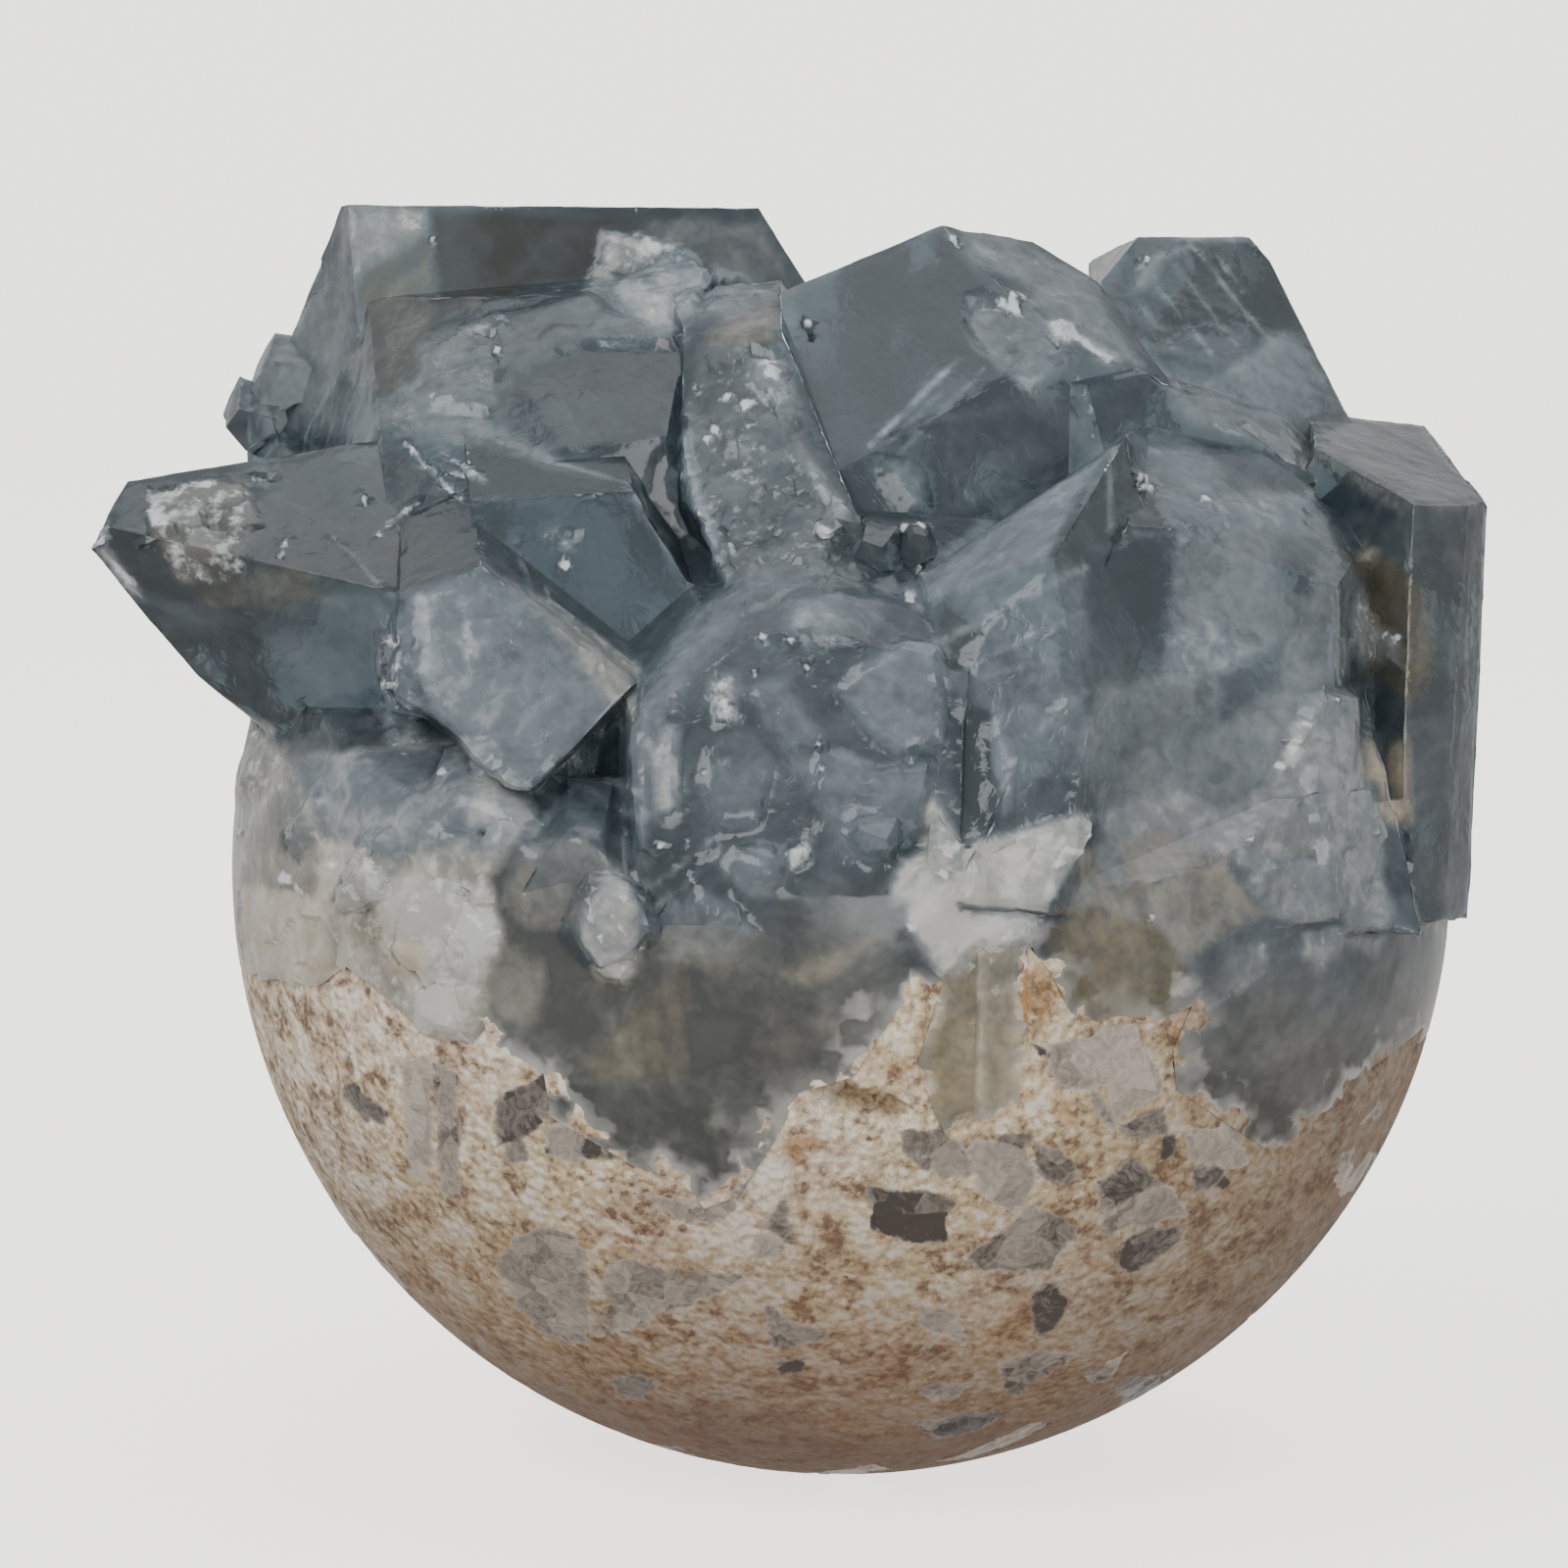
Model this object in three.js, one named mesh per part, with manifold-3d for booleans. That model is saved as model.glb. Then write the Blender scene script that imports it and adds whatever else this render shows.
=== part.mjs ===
// A celestite crystal cluster from a geode: blue-grey crystals grown together on pale host rock.
// The lower half has been ground and polished to a round base, which cuts through the crystals'
// roots as well as the rock. The upper half is natural.
// Millimetres, +Z up, -Y towards the viewer. The origin is the middle of the flat foot.
import * as THREE from "three";
import { ConvexGeometry } from "three/addons/geometries/ConvexGeometry.js";
import { mergeVertices } from "three/addons/utils/BufferGeometryUtils.js";
import Module from "manifold-3d";

const wasm = await Module();
wasm.setup();

// Driving dimensions
const BASE_RADIUS = 27.6; // of the polished round, seen from the front
const BASE_DEPTH_RADIUS = 24; // the same, from front to back
const FOOT_SINK = 0.65; // how far the flat foot is ground into the round
const RIM_HEIGHT = 29.8; // in the middle, where the polish ends and natural faces begin
const RIM_SLOPE = 8.8; // degrees, the rim falling to the right
const ROCK_BELOW_RIM = 2; // how far the rock stays below the rim
const SEAM = 0.3; // between the crystals and the rock that holds them
const VIEW_ELEVATION = 8; // degrees, of the line of sight that the windows are outlined along
const WINDOW_PLANE = -20; // where the outlines are drawn, in front of the middle
const FAR = 60; // beyond everything

const radians = THREE.MathUtils.degToRad;

// A direction by its bearing, 0 towards the viewer and 90 to the right, and its tilt above level.
function direction(bearing, tilt) {
  const b = radians(bearing);
  const t = radians(tilt);
  return new THREE.Vector3(Math.sin(b) * Math.cos(t), -Math.cos(b) * Math.cos(t), Math.sin(t));
}

// Solids and how they join

function solid(geometry) {
  geometry.deleteAttribute("normal");
  geometry.deleteAttribute("uv");
  const merged = mergeVertices(geometry, 1e-4);
  return new wasm.Manifold(
    new wasm.Mesh({
      numProp: 3,
      vertProperties: new Float32Array(merged.attributes.position.array),
      triVerts: new Uint32Array(merged.index.array),
    }),
  );
}

function joined(solids) {
  return solids.reduce((sum, next) => sum.add(next));
}

function largest(pieces) {
  return pieces.decompose().reduce((best, next) => (next.volume() > best.volume() ? next : best));
}

// Everything below a plane that passes through a point
function under([bearing, tilt, point]) {
  const half = new THREE.BoxGeometry(4 * FAR, 4 * FAR, 2 * FAR);
  half.translate(0, 0, -FAR);
  const up = new THREE.Vector3(0, 0, 1);
  half.applyQuaternion(new THREE.Quaternion().setFromUnitVectors(up, direction(bearing, tilt)));
  half.translate(...point);
  return solid(half);
}

// The convex solid inside a list of planes
function insideOf(planes) {
  const corners = [];
  const cross = (a, b) => new THREE.Vector3().crossVectors(a.normal, b.normal);
  for (let i = 0; i < planes.length; i++)
    for (let j = i + 1; j < planes.length; j++)
      for (let k = j + 1; k < planes.length; k++) {
        const [a, b, c] = [planes[i], planes[j], planes[k]];
        const volume = a.normal.dot(cross(b, c));
        if (Math.abs(volume) < 1e-6) continue;
        const corner = cross(b, c).multiplyScalar(-a.constant);
        corner.addScaledVector(cross(c, a), -b.constant);
        corner.addScaledVector(cross(a, b), -c.constant);
        corner.divideScalar(volume);
        if (planes.every((plane) => plane.distanceToPoint(corner) < 1e-6)) corners.push(corner);
      }
  return solid(new ConvexGeometry(corners));
}

// A crystal cut by its own faces. Some pass through three of its named corners. The others are a
// bearing, a tilt, and either the corner that they pass through or their distance from the heart.
function cut({ heart, corners = {}, faces = [], turned = [] }, grow) {
  const inside = new THREE.Vector3(...heart);
  const at = (letter) => new THREE.Vector3(...corners[letter]);
  const planes = faces.map((letters) => {
    const plane = new THREE.Plane().setFromCoplanarPoints(...[...letters].map(at));
    return plane.distanceToPoint(inside) > 0 ? plane.negate() : plane;
  });
  for (const [bearing, tilt, where] of turned) {
    const normal = direction(bearing, tilt);
    const reach = typeof where === "string" ? at(where).sub(inside).dot(normal) : where;
    planes.push(new THREE.Plane(normal, -normal.dot(inside) - reach));
  }
  for (const plane of planes) plane.constant -= grow;
  return insideOf(planes);
}

// Celestite's own habit: a flat rhombic prism that ends in two chisel faces
const PRISM_ANGLE = 38; // between a prism face and the crystal's broad side
const CHISEL_ANGLE = 39.4; // between a chisel face's normal and the length

function habit({ tip, bearing, tilt, roll, width, thickness, length }, grow) {
  const axis = direction(bearing, tilt);
  const side = new THREE.Vector3().crossVectors(axis, new THREE.Vector3(0, 0, 1)).normalize();
  side.applyAxisAngle(axis, radians(roll));
  const broad = new THREE.Vector3().crossVectors(axis, side);
  const heart = new THREE.Vector3(...tip).addScaledVector(axis, -length);
  const planes = [];
  const face = (along, across, up, distance) => {
    const normal = axis.clone().multiplyScalar(along);
    normal.addScaledVector(side, across).addScaledVector(broad, up).normalize();
    planes.push(new THREE.Plane(normal, -normal.dot(heart) - distance - grow));
  };
  const turn = (angle) => [Math.cos(radians(angle)), Math.sin(radians(angle))];
  const [prismUp, prismSide] = turn(PRISM_ANGLE);
  const [chiselEnd, chiselSide] = turn(CHISEL_ANGLE);
  for (const s of [-1, 1]) {
    for (const t of [-1, 1]) face(0, s * prismSide, t * prismUp, width * 0.8);
    face(0, 0, s, thickness);
    face(chiselEnd, s * chiselSide, 0, (length - s * width * 0.2) * chiselEnd);
  }
  face(-1, 0, 0, 1);
  return insideOf(planes);
}

// The crystals that stand up, as the front shows them
const STANDING = {
  back_left_block: {
    heart: [-12, 9, 46],
    corners: {
      a: [-22.5, 5, 56.8],
      b: [-3.4, 5, 56.2],
      c: [-21.6, 1.5, 47.1],
      e: [-27.1, 10, 46.4],
    },
    faces: ["abc", "ace"],
    turned: [
      [178, 82, "a"],
      [-95, 24, "e"],
      [95, 31, "b"],
      [-95, -15, "e"],
      [165, 24, 9.5],
      [-150, 8, 10.5],
      [175, -16, 9],
      [0, -90, 26],
    ],
  },
  back_left_ledge: {
    heart: [-12, 3, 44],
    corners: {
      a: [-18.5, 1.5, 51.8],
      b: [-10.6, 2, 53.2],
      c: [-20.7, -3, 48],
      d: [-13, -6, 47.8],
      e: [-7, -2, 51],
      g: [-11.2, -8, 45.8],
    },
    faces: ["acd", "bde"],
    turned: [
      [-70, 18, "c"],
      [75, 12, "e"],
      [-25, 80, "b"],
      [5, 5, "g"],
      [180, 0, 6],
      [0, -90, 16],
    ],
  },
  left_prism: {
    heart: [-21, -4, 39],
    corners: {
      a: [-31.5, -7, 45.3],
      b: [-17.7, -3, 47.4],
      d: [-19.3, -14, 41.1],
      e: [-30.5, -9, 39.9],
      f: [-28.3, -8, 36.5],
      g: [-26.1, -8, 34.8],
      h: [-24.2, -8, 32.4],
    },
    faces: ["abd", "edh"],
    turned: [
      [-128, 77, "a"],
      [70, 35, "b"],
      [-90, 29, "a"],
      [-88, -39, "f"],
      [-80, -51, "g"],
      [175, 8, 8],
      [-140, 5, 10],
      [80, 10, 6],
      [0, -90, 12],
    ],
  },
  left_block: {
    heart: [-10.5, -8, 38],
    corners: {
      a: [-16.2, -12, 44.9],
      b: [-9.4, -11, 45.3],
      c: [-6.2, -13, 41],
      d: [-8.7, -15, 37.5],
      f: [-15.6, -5, 47.4],
    },
    faces: ["acd", "abf"],
    turned: [
      [85, 35, "c"],
      [80, -30, "c"],
      [-85, 0, "a"],
      [180, 0, 8],
      [0, -90, 12],
    ],
  },
  shield: {
    heart: [-13.5, -14, 37.5],
    corners: {
      a: [-19, -17, 41.5],
      b: [-15.5, -17, 42.6],
      c: [-8.6, -19, 38.1],
      d: [-13.2, -20.5, 33.2],
      e: [-18, -18.5, 36.6],
    },
    faces: ["acd"],
    turned: [
      [-85, 5, "a"],
      [-50, 62, "b"],
      [70, 54, "b"],
      [80, -42, "c"],
      [-75, -50, "e"],
      [180, 0, 8],
    ],
  },
  column: {
    heart: [-3.5, -5, 46],
    corners: {
      a: [-4.3, -5, 51.4],
      b: [-2.3, -7, 49.2],
      c: [-6.9, -5, 51],
      d: [-7.3, -7.5, 46.1],
      e: [-6.2, -11, 43.2],
      f: [-4.9, -13.5, 40.9],
      h: [0.3, -12.5, 44.4],
    },
    faces: ["adf", "abf"],
    turned: [
      [-85, 6, "d"],
      [-75, -22, "e"],
      [80, 30, "h"],
      [60, -52, "h"],
      [-30, 70, "c"],
      [180, 0, 6],
      [0, -90, 10],
    ],
  },
  centre_block: {
    heart: [6, 3, 46],
    corners: {
      a: [-2.8, -2, 53.1],
      b: [4.5, 1, 56.1],
      c: [1, -9, 46.6],
      d: [6, -6, 51.2],
      e: [11.7, 2, 53.5],
      f: [13.6, -3.5, 49.8],
    },
    faces: ["abc", "cdf", "bef"],
    turned: [
      [-108, 65, "b"],
      [136, 79, "b"],
      [103, 57, "e"],
      [97, 28, "e"],
      [-85, 0, "a"],
      [-165, 22, 9],
      [165, -4, 9],
      [0, -90, 26],
    ],
  },
  centre_right_block: {
    heart: [11, 2, 42],
    corners: {
      q: [13.6, -4.5, 49.9],
      r: [21, -5, 45.2],
      s: [12, -8, 44.2],
    },
    faces: ["qrs"],
    turned: [
      [105, 57, "q"],
      [-30, 78, "q"],
      [-40, 12, "s"],
      [95, 10, "r"],
      [-90, 10, 9],
      [180, 0, 9],
      [0, -90, 18],
    ],
  },
  back_right_block: {
    heart: [18, 10, 45],
    corners: {
      a: [13.7, 6, 55.3],
      b: [18.7, 6, 55.4],
      c: [20.4, 6, 53.3],
      d: [23.2, 3, 47.2],
      e: [11.8, 6, 53.3],
      f: [14.6, 1, 48.7],
      g: [19.5, 0, 46.8],
    },
    faces: ["abf", "cdg"],
    turned: [
      [180, 82, "a"],
      [-90, 42, "e"],
      [-90, -5, "e"],
      [92, 40, "c"],
      [92, 26, "d"],
      [90, 0, 6.5],
      [172, 14, 9],
      [140, -8, 8],
      [0, -90, 24],
    ],
  },
  right_block: {
    heart: [22, 0, 34],
    corners: {
      a: [23.5, 4, 47.2],
      b: [26.8, 3, 46.7],
      c: [27.7, -6, 44.1],
      d: [20.6, -11, 44.7],
      f: [24.9, -10.5, 26.7],
      g: [25, -7.8, 44.4],
    },
    faces: ["adc", "dcf"],
    turned: [
      [-50, 8, "g"],
      [90, 35, "b"],
      [91, -3, 6.2],
      [60, 2, "c"],
      [-92, 4, "d"],
      [172, 76, "a"],
      [150, 12, 11],
      [112, -3, 7.8],
      [0, -90, 12],
    ],
  },
  wedge: {
    heart: [9, -12, 39],
    corners: {
      a: [12.1, -13, 47.8],
      b: [2.5, -15, 41.3],
      c: [8.8, -19, 43.2],
      f: [4, -19.5, 38.6],
      g: [10.2, -21.5, 36.3],
      h: [14, -15, 43.7],
    },
    faces: ["abc", "bcf", "cfg", "acg"],
    turned: [
      [-101, 55, "a"],
      [80, 20, "a"],
      [-80, 2, "f"],
      [60, 0, "h"],
      [180, 0, 8],
      [0, -90, 12],
    ],
  },
  mass: {
    heart: [15, -8, 36],
    corners: {
      a: [12.7, -10, 47.4],
      b: [16.7, -9, 45.5],
      c: [20.4, -11, 43.7],
      d: [14.1, -15, 44.1],
      e: [21.4, -12, 41.5],
      g: [10.6, -20.5, 31.9],
    },
    faces: ["deg", "abd", "bcd"],
    turned: [
      [70, 5, "e"],
      [75, 40, "c"],
      [-80, 30, "a"],
      [180, 0, 8],
      [0, -90, 9],
    ],
  },
  round_front: {
    heart: [-1.5, -12, 36],
    corners: {
      a: [-9.2, -20, 35.3],
      b: [-8.6, -18, 38],
      c: [-4.3, -15, 41.9],
      d: [-0.5, -14.5, 42.5],
      e: [2.5, -16, 41],
      f: [-1.4, -20, 40.3],
      g: [5, -21.5, 34.7],
      h: [-0.6, -22.8, 31.2],
      j: [-6.7, -21, 38],
    },
    faces: ["fjh", "fgh", "bcj", "cdf", "def"],
    turned: [
      [-85, 0, "a"],
      [80, 0, "g"],
      [180, 0, 8],
      [0, -90, 8],
    ],
  },
};

// The core that all the crystals grow from
const CORE = {
  heart: [0, 0, 31],
  turned: [
    [0, 0, 15],
    [48, 8, 17],
    [92, -12, 19],
    [135, 15, 17],
    [178, -5, 15],
    [-140, 10, 17],
    [-92, -14, 19],
    [-45, 5, 17],
    [0, 80, 8],
    [30, -60, 13],
    [150, -60, 13],
    [-90, -55, 14],
    [0, -90, 11],
  ],
};

// Windows in the polish, where it cuts through the crystals' roots: each an outline seen from the
// front, how far it reaches in, and the faces that end it (each a bearing, a tilt and a point).
const WINDOWS = {
  left: {
    outline: [
      [-30, 37],
      [-30, 25.8],
      [-24.9, 25],
      [-23, 24.8],
      [-21.3, 25.8],
      [-19.9, 24.6],
      [-17.6, 22.7],
      [-15.9, 22.5],
      [-14.9, 23.5],
      [-14.6, 27.7],
      [-15.5, 29.2],
      [-12.6, 31.5],
      [-12.5, 37],
    ],
    depth: 22,
    ends: [
      [-5, 58, [-20, -15, 33.2]],
      [-170, -22, [-26, 1, 28]],
    ],
  },
  front: {
    outline: [
      [-15.8, 29.2],
      [-15.4, 23.1],
      [-14.3, 21.6],
      [-12.8, 21.2],
      [-12.5, 19.3],
      [-8.9, 17.2],
      [-6.8, 16.7],
      [-6, 15.4],
      [-4.5, 16],
      [-3, 18.4],
      [-2, 20.5],
      [0.3, 21.2],
      [2.4, 24.4],
      [4.2, 25.5],
      [4.2, 34],
      [-14.2, 34],
    ],
    depth: 14,
    ends: [[-8, 50, [-4, -22.6, 30.5]]],
  },
  right: {
    outline: [
      [7.4, 27.1],
      [8.6, 25.6],
      [9.5, 23.9],
      [11.1, 23.3],
      [13.2, 23.5],
      [14.7, 24.1],
      [13.9, 22.2],
      [14.1, 20.5],
      [16.4, 18.9],
      [18.5, 17.5],
      [22, 19.9],
      [23.2, 21.1],
      [30, 25],
      [30, 33],
      [9.8, 33],
      [8.4, 28.2],
    ],
    depth: 22,
    ends: [
      [12, 50, [16, -18.6, 31]],
      [165, -25, [25, 2, 24]],
    ],
  },
  pale: {
    outline: [
      [3.8, 32.4],
      [4.5, 30.7],
      [6.1, 30.6],
      [10.3, 32],
      [10.5, 31.5],
      [8.4, 28.2],
      [8.5, 27.1],
      [7.6, 26.6],
      [7.6, 22.7],
      [7.2, 19.7],
      [4.1, 18.9],
      [3, 21.8],
      [4.1, 25.2],
      [2.1, 28.8],
      [3.4, 30.3],
    ],
    depth: 9,
    ends: [[0, 90, [0, 0, 33]]],
  },
};

// Crystals of the back and the sides, in the species' own habit
const BACK_CRYSTALS = [
  { tip: [-18, 21, 43], bearing: -160, tilt: 34, roll: 24, width: 7, thickness: 6, length: 22 },
  { tip: [-2, 22, 50], bearing: 168, tilt: 52, roll: -30, width: 7, thickness: 6, length: 26 },
  { tip: [12, 23, 43], bearing: 158, tilt: 36, roll: 62, width: 7, thickness: 6, length: 24 },
  { tip: [-6, 26, 37], bearing: -172, tilt: 18, roll: 12, width: 7, thickness: 5.5, length: 20 },
  { tip: [22, 17, 39], bearing: 134, tilt: 26, roll: 42, width: 6, thickness: 5, length: 20 },
  { tip: [-25, 13, 38], bearing: -128, tilt: 20, roll: -22, width: 5.5, thickness: 5, length: 18 },
  { tip: [-11, 23, 50], bearing: -168, tilt: 46, roll: 70, width: 4, thickness: 3.4, length: 16 },
  { tip: [20, 19, 49], bearing: 150, tilt: 44, roll: -18, width: 4.2, thickness: 3.4, length: 16 },
  { tip: [5, 26, 36], bearing: 170, tilt: 12, roll: 48, width: 5, thickness: 4.4, length: 14 },
  { tip: [15, 22.5, 33.5], bearing: 148, tilt: 8, roll: 8, width: 5, thickness: 4, length: 14 },
  { tip: [-15, 23, 34], bearing: -154, tilt: 8, roll: 58, width: 4.6, thickness: 4, length: 14 },
  { tip: [-25.5, 5, 39], bearing: -105, tilt: 30, roll: 30, width: 3.5, thickness: 3, length: 12 },
  { tip: [-29.5, 3, 41], bearing: -92, tilt: 28, roll: -14, width: 3.6, thickness: 3, length: 14 },
];

// Small broken crystals on the ledges between the large ones: the middle and the size of each
const CHIPS = [
  [-9.7, -21.4, 28.4, 2.5],
  [-6.1, -21.6, 28.8, 2.8],
  [-3.6, -21.9, 30.4, 1.8],
  [-2, -22.4, 31, 0.9],
  [1.1, -21.4, 30.8, 2.2],
  [-11.2, -19, 30.4, 3],
  [-16.1, -16.8, 27.2, 3],
  [-14.7, -16.4, 31.4, 3.6],
  [-18.6, -14.4, 30, 3.2],
  [-21.6, -11, 31, 3.2],
  [-23.6, -5.6, 32.6, 2.8],
  [-26.8, 8.5, 46.6, 2],
  [-25.4, 8.5, 48.6, 2.2],
  [-25.6, 7.5, 44.8, 2.2],
  [0.2, -12.4, 43.5, 1.1],
  [1.5, -13.2, 42.6, 1.3],
  [3.2, -13, 43, 1.1],
  [-5, -11.6, 41.5, 1.6],
  [-8.4, 20.5, 30.5, 3],
  [8, 21.4, 29, 3.2],
  [-20, 14, 31.6, 3],
  [25, 8, 28, 2.6],
];

// Flakes broken off the large crystals: the middle and the size of each
const BREAKS = [
  [7.6, -7, 53.4, 2.6],
  [9.6, -5.4, 52.6, 1.9],
  [-25, 6.5, 53.6, 1.6],
  [-27.2, 7, 50, 1.5],
  [-33, -8.5, 43.4, 1.5],
  [21.2, -18, 36.4, 2],
  [2.3, 16.5, 56.4, 3],
  [-19, 19, 57, 3.6],
  [28.5, 8, 45.5, 3],
  [25.5, -12.5, 44.6, 1.5],
];

// An outline with each of its sides moved out
function widened(outline, by) {
  const points = outline.map(([x, z]) => new THREE.Vector2(x, z));
  if (THREE.ShapeUtils.area(points) < 0) points.reverse();
  return points.map((point, i) => {
    const before = points[(i + points.length - 1) % points.length];
    const after = points[(i + 1) % points.length];
    const d = point.clone().sub(before).normalize();
    const e = after.clone().sub(point).normalize();
    const corner = new THREE.Vector2(d.y + e.y, -d.x - e.x);
    return corner.multiplyScalar(by / (1 + d.dot(e))).add(point);
  });
}

// A root behind a window, running in along the line of sight
function windowRoot({ outline, depth, ends }, grow) {
  const front = 8;
  const wall = new THREE.ExtrudeGeometry(new THREE.Shape(widened(outline, grow)), {
    depth: depth + front,
    bevelEnabled: false,
  });
  const out = direction(0, VIEW_ELEVATION);
  const across = new THREE.Vector3(1, 0, 0);
  const up = new THREE.Vector3(0, 0, 1);
  wall.applyMatrix4(new THREE.Matrix4().makeBasis(across, up, out));
  wall.translate(0, WINDOW_PLANE - depth * out.y, -depth * out.z);
  let root = solid(wall);
  for (const [bearing, tilt, point] of ends) {
    const moved = new THREE.Vector3(...point).addScaledVector(direction(bearing, tilt), grow);
    root = root.intersect(under([bearing, tilt, moved.toArray()]));
  }
  return root;
}

// Numbers from 0 to 1 that look random and are the same in every build
function dice(seed) {
  let state = seed;
  return () => {
    state = (state * 1664525 + 1013904223) % 4294967296;
    return state / 4294967296;
  };
}

// A broken crystal with a few uneven faces
function chip([x, y, z, size], seed, grow) {
  const roll = dice(seed);
  const turned = [];
  for (let i = 0; i < 9; i++) {
    const tilt = THREE.MathUtils.radToDeg(Math.asin(1 - (2 * (i + 0.5)) / 9));
    turned.push([i * 137.5 + 30 * roll(), tilt, size * (0.6 + 0.35 * roll()) + grow]);
  }
  return cut({ heart: [x, y, z], turned }, 0);
}

// The polished round, with its flat foot
function polishedRound() {
  const ball = new THREE.SphereGeometry(BASE_RADIUS, 64, 40);
  ball.rotateX(Math.PI / 2);
  ball.scale(1, BASE_DEPTH_RADIUS / BASE_RADIUS, 1);
  ball.translate(0, 0, BASE_RADIUS - FOOT_SINK);
  return solid(ball).subtract(under([0, 90, [0, 0, 0]]));
}

function belowRim(drop) {
  return under([90, 90 - RIM_SLOPE, [0, 0, RIM_HEIGHT - drop]]);
}

function standing(grow) {
  return joined([
    ...Object.values(STANDING).map((crystal) => cut(crystal, grow)),
    ...BACK_CRYSTALS.map((crystal) => habit(crystal, grow)),
  ]);
}

function roots(grow) {
  return joined([
    cut(CORE, grow),
    ...Object.values(WINDOWS).map((window) => windowRoot(window, grow)),
  ]);
}

function chips(places, seed, grow) {
  return joined(places.map((place, i) => chip(place, seed + i, grow)));
}

// Natural faces above the rim, and the polish below it
function crystals() {
  const natural = standing(0).subtract(belowRim(0));
  const polished = standing(0).add(roots(0)).intersect(polishedRound());
  return natural.add(polished).subtract(chips(BREAKS, 50, 0)).add(chips(CHIPS, 1, 0));
}

function hostRock() {
  const rock = polishedRound().intersect(belowRim(ROCK_BELOW_RIM));
  return rock.subtract(joined([standing(SEAM), roots(SEAM), chips(CHIPS, 1, SEAM)]));
}

function meshOf(name, piece, material) {
  const made = largest(piece).getMesh();
  const geometry = new THREE.BufferGeometry();
  geometry.setAttribute("position", new THREE.BufferAttribute(made.vertProperties, 3));
  geometry.setIndex(new THREE.BufferAttribute(made.triVerts, 1));
  geometry.computeVertexNormals();
  const mesh = new THREE.Mesh(geometry, material);
  mesh.name = name;
  return mesh;
}

const celestite = new THREE.MeshStandardMaterial({ color: 0x66727e, roughness: 0.2, metalness: 0 });
const stone = new THREE.MeshStandardMaterial({ color: 0xb7a48f, roughness: 0.55, metalness: 0 });

const cluster = new THREE.Group();
cluster.add(meshOf("crystals", crystals(), celestite));
cluster.add(meshOf("host_rock", hostRock(), stone));

export default cluster;
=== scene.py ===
"""A celestite crystal cluster: blue-grey crystals on host rock, with a polished round base.

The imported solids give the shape. Each is copied, divided finely and dressed: worn and broken edges,
growth steps, rough crusts, a true round where it is polished. Masks stored on the points tell the
materials where the stone is cloudy, pale, warm or dark. Lengths are in mm until a mesh is written.
"""
import math

import bmesh
import bpy
import numpy as np
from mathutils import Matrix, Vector
from mathutils.bvhtree import BVHTree
from mathutils.kdtree import KDTree


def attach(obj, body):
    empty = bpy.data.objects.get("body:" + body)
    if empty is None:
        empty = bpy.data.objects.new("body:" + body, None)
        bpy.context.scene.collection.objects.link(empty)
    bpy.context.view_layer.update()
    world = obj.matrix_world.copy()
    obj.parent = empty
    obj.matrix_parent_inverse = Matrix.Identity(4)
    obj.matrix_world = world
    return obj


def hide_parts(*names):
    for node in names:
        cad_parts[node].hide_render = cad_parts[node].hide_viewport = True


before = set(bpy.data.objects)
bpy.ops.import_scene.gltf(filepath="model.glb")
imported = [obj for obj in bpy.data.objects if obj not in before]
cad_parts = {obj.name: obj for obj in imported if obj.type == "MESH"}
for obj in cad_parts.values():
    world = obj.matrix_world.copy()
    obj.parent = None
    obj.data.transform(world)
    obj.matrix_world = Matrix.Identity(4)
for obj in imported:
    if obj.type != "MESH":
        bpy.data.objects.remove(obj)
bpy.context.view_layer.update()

METRE = 1000.0  # mm

# The polished round, as in the solids
ROUND_RADII = np.array([27.6, 24.0, 27.6])
ROUND_CENTRE = np.array([0.0, 0.0, 26.95])
SEAM = 0.3
FOOT_TOP = 1.0  # the flat foot and its edge are below this

# The camera
TARGET = np.array([-2.6, 0.0, 30.8])
ELEVATION = math.radians(8)
DISTANCE = 300.0
LENS = 151.9
SENSOR = 36.0
PHOTO_SIDE = 1600
PIXELS_PER_MM = 22.5

# How finely the surfaces are divided
MARK_EDGE = 0.22  # along the marks on the crystals
FINE_EDGE = 0.46  # where the camera sees them
ROCK_EDGE = 0.31  # the same, on the rock
COARSE_EDGE = 1.1  # elsewhere

# How the marks of the photograph are laid on, in pixels
WOBBLE = 4.5  # how far their outlines are shifted to and fro
BLUR = 12  # how widely a patch fades out
SLOPE = 15  # how widely it rises

# The rim between the polish and the natural faces above it
RIM_HEIGHT = 29.8
RIM_FALL = math.tan(math.radians(8.8))


# Pixels of the photograph


def camera_axes():
    forward = np.array([0.0, math.cos(ELEVATION), -math.sin(ELEVATION)])
    up = np.array([0.0, math.sin(ELEVATION), math.cos(ELEVATION)])
    return TARGET - DISTANCE * forward, forward, up


def photo_pixels(points):
    """The pixels of the photograph in which points appear."""
    eye, forward, up = camera_axes()
    seen = points - eye
    scale = LENS / SENSOR * PHOTO_SIDE / (seen @ forward)
    return np.stack([PHOTO_SIDE / 2 + seen[:, 0] * scale, PHOTO_SIDE / 2 - seen @ up * scale], axis=1)


def in_sight(points, normals, tree):
    """1 for points that the camera sees, and 0 for others."""
    eye = camera_axes()[0]
    to_eye = eye - points
    to_eye /= np.linalg.norm(to_eye, axis=1)[:, None]
    seen = np.zeros(len(points))
    for i in np.flatnonzero(np.sum(normals * to_eye, axis=1) > -0.1):
        start = Vector(points[i] + 0.12 * to_eye[i] + 0.05 * normals[i])
        seen[i] = tree.ray_cast(start, Vector(to_eye[i]))[0] is None
    return seen


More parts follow.
